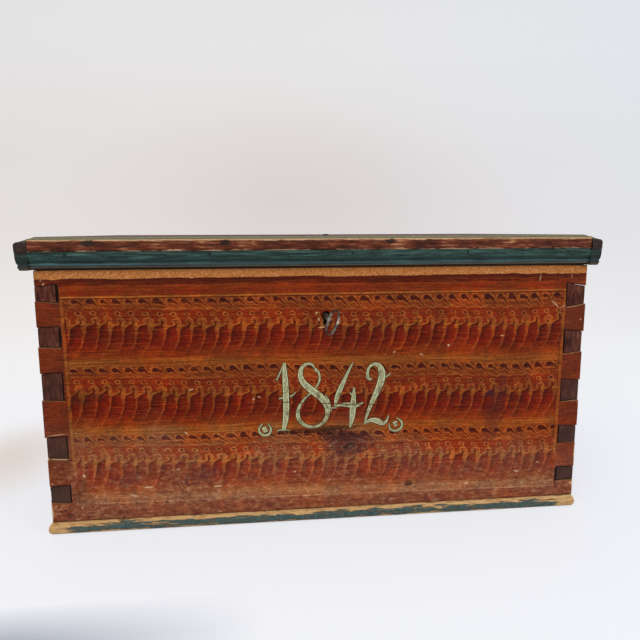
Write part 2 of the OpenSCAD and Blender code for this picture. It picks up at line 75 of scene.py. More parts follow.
# Short names of the kinds of nodes used most: their type, inputs in order and settings. "map" and "smooth"
# take a value, the range it comes from and the range it goes to, which is 0 to 1 where it is left out
CLOUD = ("Vector", "Scale", "Detail", "Roughness")
KINDS = {
    "noise": ("TexNoise", CLOUD, {}),
    "noise 2D": ("TexNoise", CLOUD, {"noise_dimensions": "2D"}),
    "noise 1D": ("TexNoise", ("W",) + CLOUD[1:], {"noise_dimensions": "1D"}),
    "luck": ("TexWhiteNoise", ("W",), {"noise_dimensions": "1D"}),
    "mix": ("Mix", (0, 6, 7), {"data_type": "RGBA"}),
    "map": ("MapRange", range(5), {}),
    "smooth": ("MapRange", range(5), {"interpolation_type": "SMOOTHSTEP"}),
    "curve": ("FloatCurve", ("Value",), {}),
    "ramp": ("ValToRGB", range(1), {}),
    "xyz": ("CombineXYZ", range(3), {}),
    "length": ("VectorMath", range(1), {"operation": "LENGTH"}),
    "scale": ("VectorMath", (0, "Scale"), {"operation": "SCALE"}),
    "vector *": ("VectorMath", range(2), {"operation": "MULTIPLY"}),
}
# Arithmetic. "*+" multiplies the first two inputs and adds the third
SIGNS = {
    "+": "ADD", "-": "SUBTRACT", "*": "MULTIPLY", "/": "DIVIDE", "*+": "MULTIPLY_ADD", ">": "GREATER_THAN",
    "abs": "ABSOLUTE", "max": "MAXIMUM", "min": "MINIMUM", "floor": "FLOOR", "fract": "FRACT",
    "mod": "FLOORED_MODULO", "smooth min": "SMOOTH_MIN", "ping-pong": "PINGPONG", "wrap": "WRAP",
}
KINDS.update({sign: ("Math", range(3), {"operation": name}) for sign, name in SIGNS.items()})


def add(tree, kind, *inputs, **settings):
    """Adds a node with its settings and links. A node given as an input stands for its first live output.

    kind is a short name in KINDS or the rest of a type's name after ShaderNode. Inputs come in order, or as
    one dict by name or number.
    """
    kind, sockets, preset = KINDS.get(kind, (kind, range(9), {}))
    node = tree.nodes.new("ShaderNode" + kind)
    for name, value in {**preset, **settings}.items():
        if name == "stops":
            ramp = node.color_ramp
            while len(ramp.elements) < len(value):
                ramp.elements.new(1.0)
            for element, (place, colour) in zip(ramp.elements, value):
                element.position = place
                element.color = linear(colour) if isinstance(colour, str) else colour
        elif name == "points":
            curve = node.mapping.curves[0]
            while len(curve.points) < len(value):
                curve.points.new(1.0, 1.0)
            for point, place in zip(curve.points, value):
                point.location = place
            node.mapping.update()
        else:
            setattr(node, name, value)
    named = inputs and isinstance(inputs[0], dict)
    for key, value in inputs[0].items() if named else zip(sockets, inputs):
        if isinstance(value, bpy.types.Node):
            value = next(out for out in value.outputs if out.enabled)
        if isinstance(value, bpy.types.NodeSocket):
            tree.links.new(value, node.inputs[key])
        else:
            node.inputs[key].default_value = linear(value) if isinstance(value, str) else value
    return node


def new_tree(name):
    """Makes an empty node material and returns it with its tree."""
    material = bpy.data.materials.new(name)
    material.use_nodes = True
    material.node_tree.nodes.clear()
    return material, material.node_tree


def places(tree):
    """Object coordinates in millimetres: the vector and its X, Y and Z.

    On them a noise of scale 0.5 has grains two millimetres across, and one of scale 0.02 has clouds of fifty.
    """
    here = add(tree, "TexCoord").outputs["Object"]
    vector = add(tree, "scale", here, 1 / MM)
    parts = add(tree, "SeparateXYZ", vector).outputs
    return vector, parts["X"], parts["Y"], parts["Z"]


def coats(tree, paint, *layers):
    """Lays coats over a paint, each with the mask that says where it covers and its colour."""
    for mask, colour in layers:
        paint = add(tree, "mix", mask, paint, colour)
    return paint


def surface(tree, colour, roughness, height, relief_mm, **constants):
    """Ends a material: one shader with a bump in millimetres. Constants go on the shader's own sockets.

    Oil paint, varnish and wood have an IOR of 1.5, which the shader starts from, so none is set.
    """
    bump = add(tree, "Bump", {"Height": height, "Distance": relief_mm * MM, "Strength": 1.0})
    shader = add(tree, "BsdfPrincipled", {"Base Color": colour, "Roughness": roughness, "Normal": bump})
    for name, value in constants.items():
        shader.inputs[name.replace("_", " ")].default_value = value
    add(tree, "OutputMaterial", {"Surface": shader})


# The graining on the front, in millimetres: from feather to feather, from row to row, and the top of the rows
GRAIN_P = 11.6
ROW_P = 63.7
ROW_TOP = 217.4

# A feather's left edge and the light ridge beside it, in millimetres: depth below the stem's tip, then the
# edge's shift to the left or the ridge's width
STEM = ((-6, 0.9), (-1, 0.9), (0, 0.3), (1.5, 0), (2.6, 0.4), (3.4, 1.7), (4.2, 3.4), (5, 5.3), (6.5, 6.7),
    (8.2, 7.3), (12, 7.9), (16, 8.8), (20, 10.3), (25, 13), (31, 17), (34, 18))
RIDGE = ((-6, 10.4), (1.5, 10.3), (2.6, 9.9), (3.4, 8.9), (4.2, 7), (5, 5.3), (6.5, 4.2), (8.2, 3.3),
    (12, 2.1), (16, 1.6), (20, 1.3), (31, 1), (34, 1))


def rows_of_graining(tree, x, z):
    """Colour of the three rows that the grainer pressed with a roll of putty into wet vinegar paint.

    Each row has leaning drops under a light line, then dots, then feathers that run into a combed band.
    """
    n = partial(add, tree)
    flat = n("xyz", x, z)
    shake = n("noise 2D", flat, 0.2, 1.5).outputs["Color"]
    shakes = n("SeparateColor", shake).outputs
    fine = n("noise 2D", flat, 0.5, 2)
    patch = n("noise 2D", flat, 0.06, 3)
    sway = n("noise 1D", x, 1 / 110, 0)

    # Depth below the top of the row, in a row that drops to the right and wavers a little
    z = n("*+", shakes[1], 2.2, z)
    slope = n("map", z, 218, 150, 0.001, 0.013)
    z = n("*+", x, slope, z)
    z = n("*+", n("-", sway, 0.5), n("map", z, 218, 200, 1, 6), z)
    depth = n("-", ROW_TOP + 1.1, z)
    row = n("floor", n("/", depth, ROW_P))
    v = n("mod", depth, ROW_P)
    pull = n("curve", n("/", v, 64), points=((0, 0), (0.07, 0), (0.2, 1), (0.5, 0.8), (0.86, 0), (1, 0)))
    v = n("*+", pull, n("map", x, -60, -240, 0, 4), v)

    # Distance along the row, with the uneven spacing of hand work
    pace = n("noise 1D", n("*+", row, 310, x), 1 / 48, 1)
    x = n("*+", shakes[0], 2, x)
    x = n("*+", row, 4.7, x)
    x = n("*+", pace, 9, x)

    # Commas: a round dark head with a tail down to the right, in a light outline
    lean = n("/", n("-", x, v), GRAIN_P)
    drop_luck = n("luck", n("*+", row, 57, n("floor", lean)))
    across = n("*", n("-", n("fract", lean), 0.5), GRAIN_P)
    v16 = n("/", v, 16)
    head = n("xyz", n("*+", n("+", across, v), 0.8, -2), n("-", v, 3.3))
    head = n("length", head)
    head = n("-", head, n("*+", drop_luck, 1, 1.6))
    tail_w = n("curve", v16,
        points=((0, 0), (0.12, 0), (0.2, 0.85), (0.35, 0.6), (0.55, 0.3), (0.8, 0.05), (1, 0)))
    tail_w = n("*", tail_w, n("*+", drop_luck, 0.8, 1.3))
    tail = n("-", n("abs", n("-", across, 1.3)), tail_w)
    tail = n("+", tail, n("map", v, 1, 3, 3, 0))
    drop_d = n("smooth min", head, tail, 1.2)
    in_drops = n("smooth", v, 13.5, 12)
    drop = n("*", n("smooth", drop_d, 0.5, -0.5), in_drops)
    rim = n("abs", n("-", drop_d, 1.1))
    rim = n("*", n("smooth", rim, 0.8, 0.1), in_drops)
    drop_colour = n("ramp", v16, stops=((0.15, "#2a0e10"), (0.3, "#40140f"), (0.6, "#6a200c")))

    # Wavy light line under the drops
    wave = n("ping-pong", n("+", x, 3), GRAIN_P / 2)
    wave = n("*+", wave, 0.42, 10.6)
    wave = n("abs", n("-", v, wave))
    wave = n("smooth", wave, 0.75, 0.15)

    # Dots: a dark centre in a light ring
    dot_x = n("fract", n("/", n("+", x, 7), GRAIN_P))
    dot_x = n("*", n("-", dot_x, 0.5), GRAIN_P * 0.86)
    dot_y = n("*", n("-", v, 17.1), 1.2)
    dot = n("length", n("xyz", dot_x, dot_y))
    dot_core = n("smooth", dot, 1.25, 0.7)
    dot_ring = n("abs", n("-", dot, 1.8))
    dot_ring = n("smooth", dot_ring, 0.7, 0.2)

    stem = n("+", n("-", dot_x, 1.9), n("*", dot_y, -0.1))
    stem = n("smooth", n("abs", stem), 0.6, 0.05)
    stem = n("*", stem, n("smooth", dot_y, 0.2, 1.2, 0, 0.8))
    dot_ring = n("max", dot_ring, stem)

    # Feathers: each hangs from a thin hooked stem, spreads at a shoulder and leans to the left
    lift = n("noise 1D", x, 1 / 15, 0)
    u = n("+", n("*+", lift, 3, -25.2), v)
    u40 = n("*+", u, 0.025, 0.15)
    sweep = n("curve", u40, points=tuple((height / 40 + 0.15, shift / 18) for height, shift in STEM))
    r = n("/", n("*+", sweep, 18, x), GRAIN_P)
    luck = n("luck", n("*+", row, 37, n("floor", r)))
    r = n("*", n("fract", r), GRAIN_P)
    ridge_w = n("curve", u40, points=tuple((height / 40 + 0.15, width / 12) for height, width in RIDGE))
    ridge_w = n("*+", ridge_w, 12, n("*+", luck, 1.4, -0.7))
    ridge_w = n("+", n("map", fine, 0.3, 0.7, -0.6, 0.6), ridge_w)
    gap = n("-", n("-", GRAIN_P, r), ridge_w)
    ridge = n("smooth", gap, 0.5, -0.5)
    edge = n("min", n("-", r, 0.1), n("-", gap, 0.3))
    shade = n("curve", u40, points=((0, 1), (0.2, 1), (0.4, 1), (0.55, 0.45), (0.7, 0.15), (0.85, 0), (1, 0)))
    shade = n("*", shade, n("smooth", r, 5, 0.4))
    shade = n("*", shade, n("*+", luck, 0.45, 0.55))

    # Over each stem a light crest that curls to the left like a breaking wave, with a roll under its end
    tip = n("wrap", n("-", x, 0.6), GRAIN_P / 2, -GRAIN_P / 2)
    crest = n("xyz", n("*+", tip, 0.9, -0.2), n("-", u, 0.5))
    crest = n("length", crest)
    under = n("*", n("map", crest, 3.1, 2.5), n("map", u, 2.5, 0.5))
    open_end = n("map", n("*+", tip, -0.55, u), 2.2, 0.8)
    crest = n("*", n("smooth", n("abs", n("-", crest, 3.2)), 0.95, 0.2), open_end)
    roll = n("xyz", n("+", tip, 2.6), n("+", u, 0.3))
    roll = n("length", roll)
    roll = n("smooth", n("abs", n("-", roll, 1.25)), 0.6, 0.1)
    roll = n("*", roll, n("map", u, -1.2, 0, 0, 0.8))
    crest = n("max", crest, roll)

    # Colours of a feather
    body = n("ramp", n("/", r, GRAIN_P),
        stops=((0, "#560f06"), (0.4, "#681607"), (0.8, "#731f08"), (0.95, "#812c0c")))
    foot = n("smooth", u, 19, 32, 0, 0.75)
    body = coats(tree, body,
        (foot, "#8c4014"),
        (shade, "#340d08"),
        (n("*", n("map", edge, 0.8, -0.1, 0, 0.6), n("map", u, 12, 4)), "#340b06"))
    ochre = n("ramp", n("+", u40, n("*", n("-", patch, 0.5), 0.35)),
        stops=((0.12, "#8c4a20"), (0.22, "#a0622a"), (0.3, "#a0602a"), (0.42, "#984c26"), (0.6, "#9c4e28")))
    faint = n("map", n("noise 2D", flat, 0.11, 2), 0.35, 0.65, 0.45, 1)
    soft = n("*", n("curve", u40, points=((0, 1), (0.3, 1), (0.45, 0.9), (0.7, 0.85), (1, 0.6))), faint)
    soft = n("max", soft, n("map", u, 9, 4))
    body = n("mix", n("*", ridge, soft), body, ochre)

    # The row from top to bottom
    ground = n("mix", n("smooth", v, 11, 14), "#803c1a", "#7f2e12")
    ground = coats(tree, ground,
        (n("*", n("max", rim, wave), faint), "#ae6f36"),
        (drop, drop_colour),
        (n("*", dot_ring, faint), "#b0743a"),
        (dot_core, "#38120c"),
        (n("*", under, 0.55), "#934c24"))
    between = n("map", n("abs", tip), 2, 4, 0, -2.2)
    started = n("max", n("map", n("+", u, between), 0.4, 1.6),
        n("*", n("map", u, -1.4, -0.6), n("map", gap, 0, 0.6)))
    ground = coats(tree, ground,
        (started, body),
        (n("*", crest, faint), "#b0703a"))
    comb = n("noise 2D", n("xyz", n("*", x, 0.012), z), 0.9, 2)
    band = n("ramp", comb, stops=((0.3, "#7a3c15"), (0.5, "#925522"), (0.7, "#a56c34")))
    ground = n("mix", n("smooth", v, 54.5, 58, 0, 0.95), ground, band)
    return ground, depth


def spot(tree, x, z, place, size, turn=0, ragged=0):
    """1 in a soft-edged oval at a place on the front, in millimetres, 0 outside it."""
    n = partial(add, tree)
    dx = n("-", x, place[0])
    dz = n("-", z, place[1])
    c, s = math.cos(turn), math.sin(turn)
    along = n("*+", dx, c / size[0], n("*", dz, s / size[0]))
    over = n("*+", dx, -s / size[1], n("*", dz, c / size[1]))
    far = n("length", n("xyz", along, over))
    if ragged:
        rough = n("noise", n("xyz", x, z, 3), 2.2 / min(size), 4)
        far = n("*+", n("-", rough, 0.5), ragged, far)
    return n("smooth", far, 1.1, 0.75)


def bare_pine(tree, along, over):
    """Colour of old bare pine: annual rings drawn out along the board, and pores."""
    n = partial(add, tree)
    stretched = n("xyz", n("*", along, 0.02), over)
    bend = n("noise 2D", stretched, 0.12, 2)
    rings = n("noise 1D", n("*+", bend, 26, over), 0.4, 3)
    tone = n("ramp", rings, stops=((0.3, "#a9743f"), (0.48, "#c7935a"), (0.7, "#dcb07a")))
    fibre = n("noise", n("xyz", n("*", along, 0.05), over, 5), 1.6, 4)
    return n("mix", n("map", fibre, 0.35, 0.75, 0, 0.5), tone, "#8a5a30")


def rule_lines(tree, paint, over, lines, soften, worn=None):
    """Draws level lines in a paint. Each has its height in terms of over, half width, strength and colour."""
    n = partial(add, tree)
    for height, half, strength, colour in lines:
        line = n("abs", n("-", over, height))
        line = n("smooth", line, half - 0.3, half + soften, strength, 0)
        paint = n("mix", n("*", line, worn) if worn else line, paint, colour)
    return paint


def front_paint(tree, x, z):
    """The front's paint, three rows of graining in a frame of stripes, and the patterns its wear follows."""
    n = partial(add, tree)
    flat = n("xyz", x, z)
    fine = n("noise 2D", flat, 0.9, 5, 0.65)
    broad = n("noise 2D", flat, 0.018, 3)
    patch = n("noise 2D", flat, 0.06, 4, 0.6)
    streak = n("noise 2D", n("xyz", n("*", x, 0.025), z), 0.8, 4, 0.7)
    brush = n("noise", n("xyz", n("*", x, 0.008), z, 9), 0.35, 3)

    rows, depth = rows_of_graining(tree, x, z)

    # Above the rows: a light line over a dark one, then red-brown brush strokes up to the worn rim
    sky = n("ramp", n("map", n("*+", brush, 14, z), 225, 242),
        stops=((0, "#8c3a12"), (0.3, "#702410"), (0.5, "#883a14"), (0.66, "#4c140a"), (1, "#3a100a")))
    sky = n("mix", n("map", streak, 0.5, 0.64, 0, 0.7), sky, "#a05424")
    paint = n("mix", n("smooth", depth, 0.3, -0.5), rows, sky)
    over = n("-", n("*+", x, -0.0012, z), 218.6)
    lines = ((0, 0.75, 0.8, "#b07a3c"), (-1.3, 0.6, 0.8, "#4e1a10"), (1.4, 0.5, 0.4, "#5e2010"))
    paint = rule_lines(tree, paint, over, lines, 0.2)

    # Below the rows: worn ochre, then red-brown down to the bottom
    foot = n("ramp", n("map", n("*+", x, 0.012, z), 12, 36),
        stops=((0, "#5a2216"), (0.45, "#7a3420"), (0.5, "#9c6038"), (0.78, "#ac7448"), (1, "#9a5c30")))
    foot = coats(tree, foot,
        (n("map", fine, 0.47, 0.6, 0, 0.6), "#5c3220"),
        (n("map", patch, 0.45, 0.7, 0, 0.35), "#7c4a30"))
    over = n("-", n("*+", x, 0.012, z), 24.3)
    lines = ((0, 0.6, 0.75, "#3e1a10"), (1.3, 0.6, 0.6, "#c08e68"))
    foot = rule_lines(tree, foot, over, lines, 0.3, n("map", fine, 0.3, 0.55, 0.3, 1))
    paint = n("mix", n("smooth", n("*+", patch, 9, depth), 184, 190), paint, foot)

    # Upright ochre stripes inside the corner joints, and plain brown paint beyond them
    lean_l = n("+", n("map", z, 12, 217, 2, 0), -228.7)
    lean_r = n("+", n("map", z, 12, 217, -1, 1), 229.5)
    plain = n("ramp", streak, stops=((0.3, "#4a1e12"), (0.5, "#6e3220"), (0.7, "#84442a")))
    for edge, side in ((lean_l, -1), (lean_r, 1)):
        away = n("*", n("-", x, edge), side)
        away = n("*+", n("-", patch, 0.5), 2, away)
        paint = n("mix", n("smooth", away, 0.6, 1.4), paint, plain)
        stripe = n("smooth", n("abs", away), 1.9, 1)
        stripe = n("*", stripe, n("map", z, 218, 214, 0, 0.7))
        stripe = n("*", stripe, n("map", z, 48, 60))
        stripe = n("*", stripe, n("map", streak, 0.3, 0.6, 0.5, 1))
        paint = n("mix", stripe, paint, "#a4642c")
        edge_line = n("smooth", n("abs", n("+", away, 1.9)), 0.2, 0.7, 0.55, 0)
        paint = n("mix", n("*", edge_line, n("map", z, 216, 212)), paint, "#4a190e")
    return paint, streak, fine, patch, broad


# Where the paint came away in crumbs: seed, stretch, threshold, fade by height, colour, strength
CRUMBS = (
    (3, 0.5, 0.5, (120, 50), "#a05c40", 0.4),
    (8, 0.6, 0.52, (125, 30), "#3a2227", 0.7),
    (12, 0.4, 0.56, (110, 40), "#c08a62", 0.8),
    (17, 0.8, 0.6, (200, 60), "#d8ac8c", 0.8),
)

# Chips and scratches down to the wood: place, size and turn
CHIPS = (
    ((-219.5, 55.4), (1.2, 1.6), 0.4), ((-163, 41.6), (5, 1), 0.05), ((-100, 39.4), (4.2, 1), 0.1),
    ((-176, 34), (3.6, 0.8), -0.4), ((-121, 133), (2.2, 0.7), 0.3), ((-65, 122), (1.1, 0.9), 0),
    ((-127, 92), (2.2, 0.8), -0.6), ((-28, 50), (1.3, 0.8), 0.2), ((140, 30), (2.8, 1.2), 0.1),
    ((190.6, 39.8), (2.4, 1), -0.2), ((-6.5, 201), (1.5, 0.7), 0.6), ((-4.4, 195), (0.8, 1.6), 0.2),
    ((-2, 187.6), (3.4, 0.6), 0.1), ((92, 160), (2, 0.6), -0.5), ((221, 205.6), (5.5, 0.5), -0.75),
    ((229, 203), (3, 0.4), 0.5), ((170, 176), (1.6, 0.6), 0), ((118, 168), (1.2, 1.2), 0),
    ((-249.8, 21), (1.6, 8), 0),
    ((241, 203.5), (10, 0.8), 0.165), ((241, 157.8), (10, 0.6), 0.11), ((-241, 72.3), (9.5, 0.9), -0.078),
    ((249.4, 24.5), (2.4, 2.6), 0.3), ((250, 58), (0.9, 9), 0), ((250.6, 112), (0.6, 8), 0),
    ((247.4, 190), (0.9, 0.8), 0.4), ((-243.6, 234.6), (1.3, 2.6), -0.5), ((-242.6, 229.4), (0.9, 2.6), -0.4),
    ((-241, 95), (8, 0.4), 0.1), ((236, 233), (0.5, 3), 0.1), ((205, 231), (0.6, 3.4), -0.1),
    ((66, 163), (1.6, 0.6), 0.6), ((-60, 124), (1.8, 0.5), -0.3), ((212, 48), (1.4, 0.6), 0.5),
)

# Dark and rubbed marks: place, size, turn, raggedness, colour, strength
SMEARS = (
    ((-4, 90.5), (40, 3), 0.04, 2.2, "#220e0c", 0.85),
    ((14, 84), (26, 6), -0.1, 2.6, "#2c1214", 0.8),
    ((24, 76), (22, 10), 0.05, 2.6, "#3a1a20", 0.75),
    ((20, 66), (18, 4), 0.1, 2.2, "#4a2626", 0.55),
    ((8, 76), (6, 1.4), 0.5, 1.6, "#8a6454", 0.6),
    ((36, 78), (8, 1.4), -0.4, 1.6, "#7e5848", 0.6),
    ((24, 73), (8.5, 5.4), 0.4, 1.2, "#6e4a3c", 0.6),
    ((24, 73), (6.6, 3.6), 0.4, 1.2, "#1a0e0c", 0.9),
    ((25, 72.6), (2.6, 1.2), 0.4, 1, "#7a5c4a", 0.7),
    ((-231, 221.8), (1, 8.6), 0, 0.2, "#0c0605", 1.6),
    ((-231, 184), (0.9, 9.6), 0, 0.3, "#0c0605", 1.4),
    ((231.2, 34), (0.8, 9), 0, 0.3, "#120807", 1.5),
    ((232, 24), (0.6, 4), 0.1, 0.5, "#120807", 1.2),
    ((-238, 71.4), (11, 0.7), -0.07, 0.6, "#170b08", 1.2),
    ((167, 104), (9, 36), -0.2, 1.8, "#3e1c1c", 0.5),
    ((160, 120), (5, 4), 0, 1.2, "#2c1522", 0.6),
    ((-221, 38), (10, 12), 0.3, 3.2, "#32180f", 0.4),
    ((-212, 130), (18, 8), 0.1, 1.8, "#33190f", 0.45),
    ((-208, 84), (34, 14), 0, 1.8, "#7a4830", 0.25),
    ((-184, 50), (14, 8), 0.3, 3.4, "#44222c", 0.4),
    ((-112, 52), (16, 9), 0.2, 3.4, "#44222c", 0.4),
    ((82, 33), (5, 3), 0, 1, "#23120f", 0.8),
    ((-20, 107), (16, 0.5), -0.09, 0.3, "#3a2418", 0.8),
    ((12, 104), (20, 0.5), -0.12, 0.3, "#3a2418", 0.8),
    ((60, 98), (16, 0.4), 0.03, 0.3, "#3a2418", 0.7),
)


def aged_front(tree, x, z):
    """The front's paint with combed grain, a purple cast low down, dirt, a knot, dark smears and chips."""
    n = partial(add, tree)
    paint, streak, fine, patch, broad = front_paint(tree, x, z)
    paint = n("mix", n("map", streak, 0.38, 0.62, 0, 0.5), paint, "#4c1a0c")
    low = n("smooth", n("*+", broad, 160, z), 190, 110, 0, 0.3)
    paint = n("mix", low, paint, "#6c3628")
    glow = n("smooth", n("+", patch, broad), 0.9, 1.2)
    bright = n("vector *", paint, (1.45, 1.2, 0.9))
    paint = n("mix", glow, paint, bright)
    specks = n("*", n("map", fine, 0.66, 0.74, 0, 0.6), n("map", z, 150, 30, 0.15, 1))
    paint = n("mix", specks, paint, "#3a1a12")

    # Combing that left lighter threads, and grit two millimetres across: specks lighter and darker in the
    # colour, a painted sparkle of the varnish
    paint = n("mix", n("map", streak, 0.44, 0.34, 0, 0.3), paint, "#a04c24")
    dash = n("noise", n("xyz", n("*", x, 0.05), z, 40), 1, 4, 0.6)
    paint = coats(tree, paint,
        (n("map", dash, 0.55, 0.66, 0, 0.6), "#34100a"),
        (n("map", dash, 0.42, 0.32, 0, 0.4), "#b4652c"))
    grit_and_glints = n("noise", n("xyz", x, z, 21), 0.45, 5, 0.8)
    grit_and_glints = n("map", grit_and_glints, 0.3, 0.7, 0.55, 1.45)
    paint = n("scale", paint, grit_and_glints)

    # Knocks and rubbing low on the board: dirt, purple bruises and wood where the paint came away in crumbs
    low = n("+", n("*+", broad, 70, z), n("*", x, 0.06))
    mottle = n("noise", n("xyz", n("*", x, 0.6), z, 33), 0.24, 6, 0.75)
    mottle = n("ramp", mottle,
        stops=((0.34, "#2c121a"), (0.42, "#5e2418"), (0.5, "#84401f"), (0.58, "#a86c38"), (0.66, "#d2a880")))
    paint = n("mix", n("smooth", low, 118, 60, 0, 0.28), paint, mottle)
    kept = n("map", n("*+", x, 0.012, z), 21.5, 25, 0.3, 1)
    kept = n("max", kept, n("map", x, -190, -215))
    faded = n("*", n("map", low, 138, 98), n("map", x, -234, -228, 0.3, 1))
    cast = n("mix", faded, (0.92, 0.79, 0.6, 1), (1.28, 1.6, 2, 1))
    paint = n("vector *", paint, cast)
    for seed, stretch, edge, place, colour, strength in CRUMBS:
        crumbs = n("xyz", n("*", x, stretch), z, seed)
        crumbs = n("noise", crumbs, 0.3, 6, 0.72)
        crumbs = n("+", crumbs, n("map", low, place[0], place[1], -0.16, 0))
        crumbs = n("*", n("smooth", crumbs, edge, edge + 0.08, 0, strength), kept)
        paint = n("mix", crumbs, paint, colour)

    # The knot that shows through the paint, and what was rubbed into it
    worn = n("*", n("map", fine, 0.35, 0.65, 0.7, 1.15), n("map", streak, 0.4, 0.6, 1.2, 0.6))
    for place, size, turn, ragged, colour, depth in SMEARS:
        mark = n("*", spot(tree, x, z, place, size, turn, ragged), depth)
        mark = n("*", mark, worn, use_clamp=True)
        paint = n("mix", mark, paint, colour)
    for place, size, turn in CHIPS:
        mark = spot(tree, x, z, place, size, turn, 1.3)
        paint = n("mix", n("*", mark, n("map", fine, 0.35, 0.6, 1, 0.6)), paint, "#cca680")
    return paint, streak, fine


def plain_paint(tree, along, z, hues):
    """Red-brown paint brushed along a board, streaky and rubbed, in three hues from dark to light."""
    n = partial(add, tree)
    streak = n("noise 2D", n("xyz", n("*", along, 0.025), z), 0.8, 4, 0.7)
    fine = n("noise 2D", n("xyz", along, z), 0.9, 5, 0.65)
    broad = n("noise", n("xyz", along, z, 7), 0.03, 4)
    paint = n("ramp", n("+", streak, n("*+", broad, 0.6, -0.3)),
        stops=((0.3, hues[0]), (0.5, hues[1]), (0.7, hues[2])))
    rubbed = n("xyz", n("*", along, 0.25), z, 15)
    rubbed = n("noise", rubbed, 0.12, 7, 0.7)
    rubbed = n("+", rubbed, n("map", z, 120, 20, -0.06, 0.03))
    paint = coats(tree, paint,
        (n("map", rubbed, 0.55, 0.68, 0, 0.75), "#a06a42"),
        (n("map", fine, 0.6, 0.72, 0, 0.5), "#2c130c"))
    return paint, streak, fine


def board_material(name, plane, pattern):
    """Pine boards painted on their outer face: paint there, rubbed bare at the arrises and where chipped.

    plane is the axis and place of the outer face, and pattern is "rows" for the grained front.
    """
    material, tree = new_tree(name)
    n = partial(add, tree)
    vector, x, y, z = places(tree)
    axis, place = plane
    along = x if axis == "Y" else y
    across = y if axis == "Y" else x
    if pattern == "rows":
        paint, streak, fine = aged_front(tree, x, z)
    else:
        paint, streak, fine = plain_paint(tree, along, z, pattern)
    bare = bare_pine(tree, along, z)

    # Depth of the surface below the painted face, in millimetres
    depth = n("*", n("-", across, place), -1 if place > 0 else 1)
    lost = n("smooth", n("*+", fine, 0.5, depth), 0.3, 0.5)
    worn = n("mix", n("map", fine, 0.4, 0.7, 0.1, 0.75), bare, "#7a4a26")

    # Along the rim the paint is rubbed off by the lid, down to a nearly straight edge
    rim_edge = n("noise 1D", along, 0.02, 8, 0.65)
    low = n("*+", rim_edge, 5, z)
    rim = n("map", low, RIM_Z / MM - 5.2, RIM_Z / MM - 4.8)
    grains = n("noise", vector, 1.1, 3, 0.8)
    rim_wood = n("ramp", grains,
        stops=((0.3, "#82441c"), (0.46, "#ac662e"), (0.56, "#be7c42"), (0.68, "#e4b484")))
    under = n("smooth", low, RIM_Z / MM - 11, RIM_Z / MM - 5.4, 0, 0.7)
    paint = coats(tree, paint,
        (under, "#481409"),
        (rim, rim_wood))

    # Painted shadow and dirt in a dark line along the planks, painted shade on the corner joints' faces, then
    # end grain of the tails and the bare inside
    darkening = n("map", n("*+", rim_edge, 2.4, z), BASE_Z / MM + 1.4, BASE_Z / MM + 2.4, 0.85, 0)
    paint = n("mix", darkening, paint, "#1c0f0b")
    inside = n("map", depth, 2, 3)
    facing = n("SeparateXYZ", n("NewGeometry").outputs["True Normal"]).outputs
    # Painted shade in the corner joints: where the paint is lost, and on bevels turned from the face, faces
    # that don't face up are darkened while upward edges stay light
    reach_x = n("abs", x)
    corner = n("*", n("map", reach_x, 229, 230), n("map", reach_x, 248.8, 248.4))
    joint = n("*", corner, n("map", facing["Z"], 0.2, 0.4, 0.95, 0.1))
    worn = n("mix", joint, worn, "#1a0f0a")
    paint = n("mix", lost, paint, worn)
    turned = n("map", n("abs", facing["Y"]), 0.97, 0.92)
    joint = n("*", joint, turned)
    paint = n("mix", joint, paint, "#1a0f0a")
    if axis == "Y":
        tail_end = n("*", n("abs", facing["X"]), n("map", reach_x, 249.4, 249.7))
        tail_end = n("map", tail_end, 0.8, 0.95)
        inside = n("*", inside, n("-", 1, tail_end))
        paint = n("mix", tail_end, paint, end_grain_paint(tree, y, z))
    paint = n("mix", inside, paint, bare)
    return material, tree, dict(x=x, y=y, z=z, paint=paint, fine=fine, streak=streak, joint=joint)


def end_grain_paint(tree, u, z):
    """Dark, dry paint on end grain: it sank in and went nearly black, with cracks across the rings."""
    n = partial(add, tree)
    flat = n("xyz", u, n("*", z, 0.22), 2)
    pores = n("noise", flat, 0.45, 5, 0.7)
    broad = n("noise", n("xyz", u, z, 4), 0.07, 4)
    tone = n("+", n("*+", broad, 0.6, -0.3), pores)
    red = n("ramp", tone, stops=((0.3, "#2e1510"), (0.5, "#50281e"), (0.66, "#663a2c"), (0.8, "#845844")))
    return n("mix", n("map", z, 190, 40, 0, 0.7), red, "#40302b")


def finish_board(tree, p, colour):
    """Old oil varnish over paint, with the grain just felt in it."""
    n = partial(add, tree)
    gloss = n("map", p["fine"], 0.3, 0.8, 0.42, 0.68)
    height = n("*+", p["streak"], 0.6, n("*", p["fine"], 0.4))
    surface(tree, colour, gloss, height, 0.25, Specular_IOR_Level=0.07)


def front_material():
    """Pine under vinegar graining and old oil varnish: deep red and ochre with a soft, uneven shine."""
    material, tree, p = board_material("vinegar_grained_pine", ("Y", FRONT_Y / MM), "rows")
    finish_board(tree, p, p["paint"])
    return material


def side_material(side):
    """Side boards: brushed red-brown paint outside, dark sunk paint on the pins' end grain."""
    hues = ("#431a0f", "#6c2c16", "#8e4424")
    material, tree, p = board_material(f"brushed_pine_{'left' if side < 0 else 'right'}",
        ("X", side * HALF_W / MM), hues)
    n = partial(add, tree)
    reach = n("abs", p["y"])
    ends = n("map", reach, -FRONT_Y / MM - 1.6, -FRONT_Y / MM - 1.4)
    grain = end_grain_paint(tree, p["x"], p["z"])
    # Painted shade, darker still, on the pins' end grain where faces in the corner joints don't face up
    grain = n("mix", p["joint"], grain, "#120a08")
    finish_board(tree, p, n("mix", ends, p["paint"], grain))
    return material


def back_material():
    """Back board: pine with one thin coat of brown stain."""
    hues = ("#5c3018", "#7a4522", "#946034")
    material, tree, p = board_material("stained_pine", ("Y", BACK_Y / MM), hues)
    finish_board(tree, p, p["paint"])
    return material


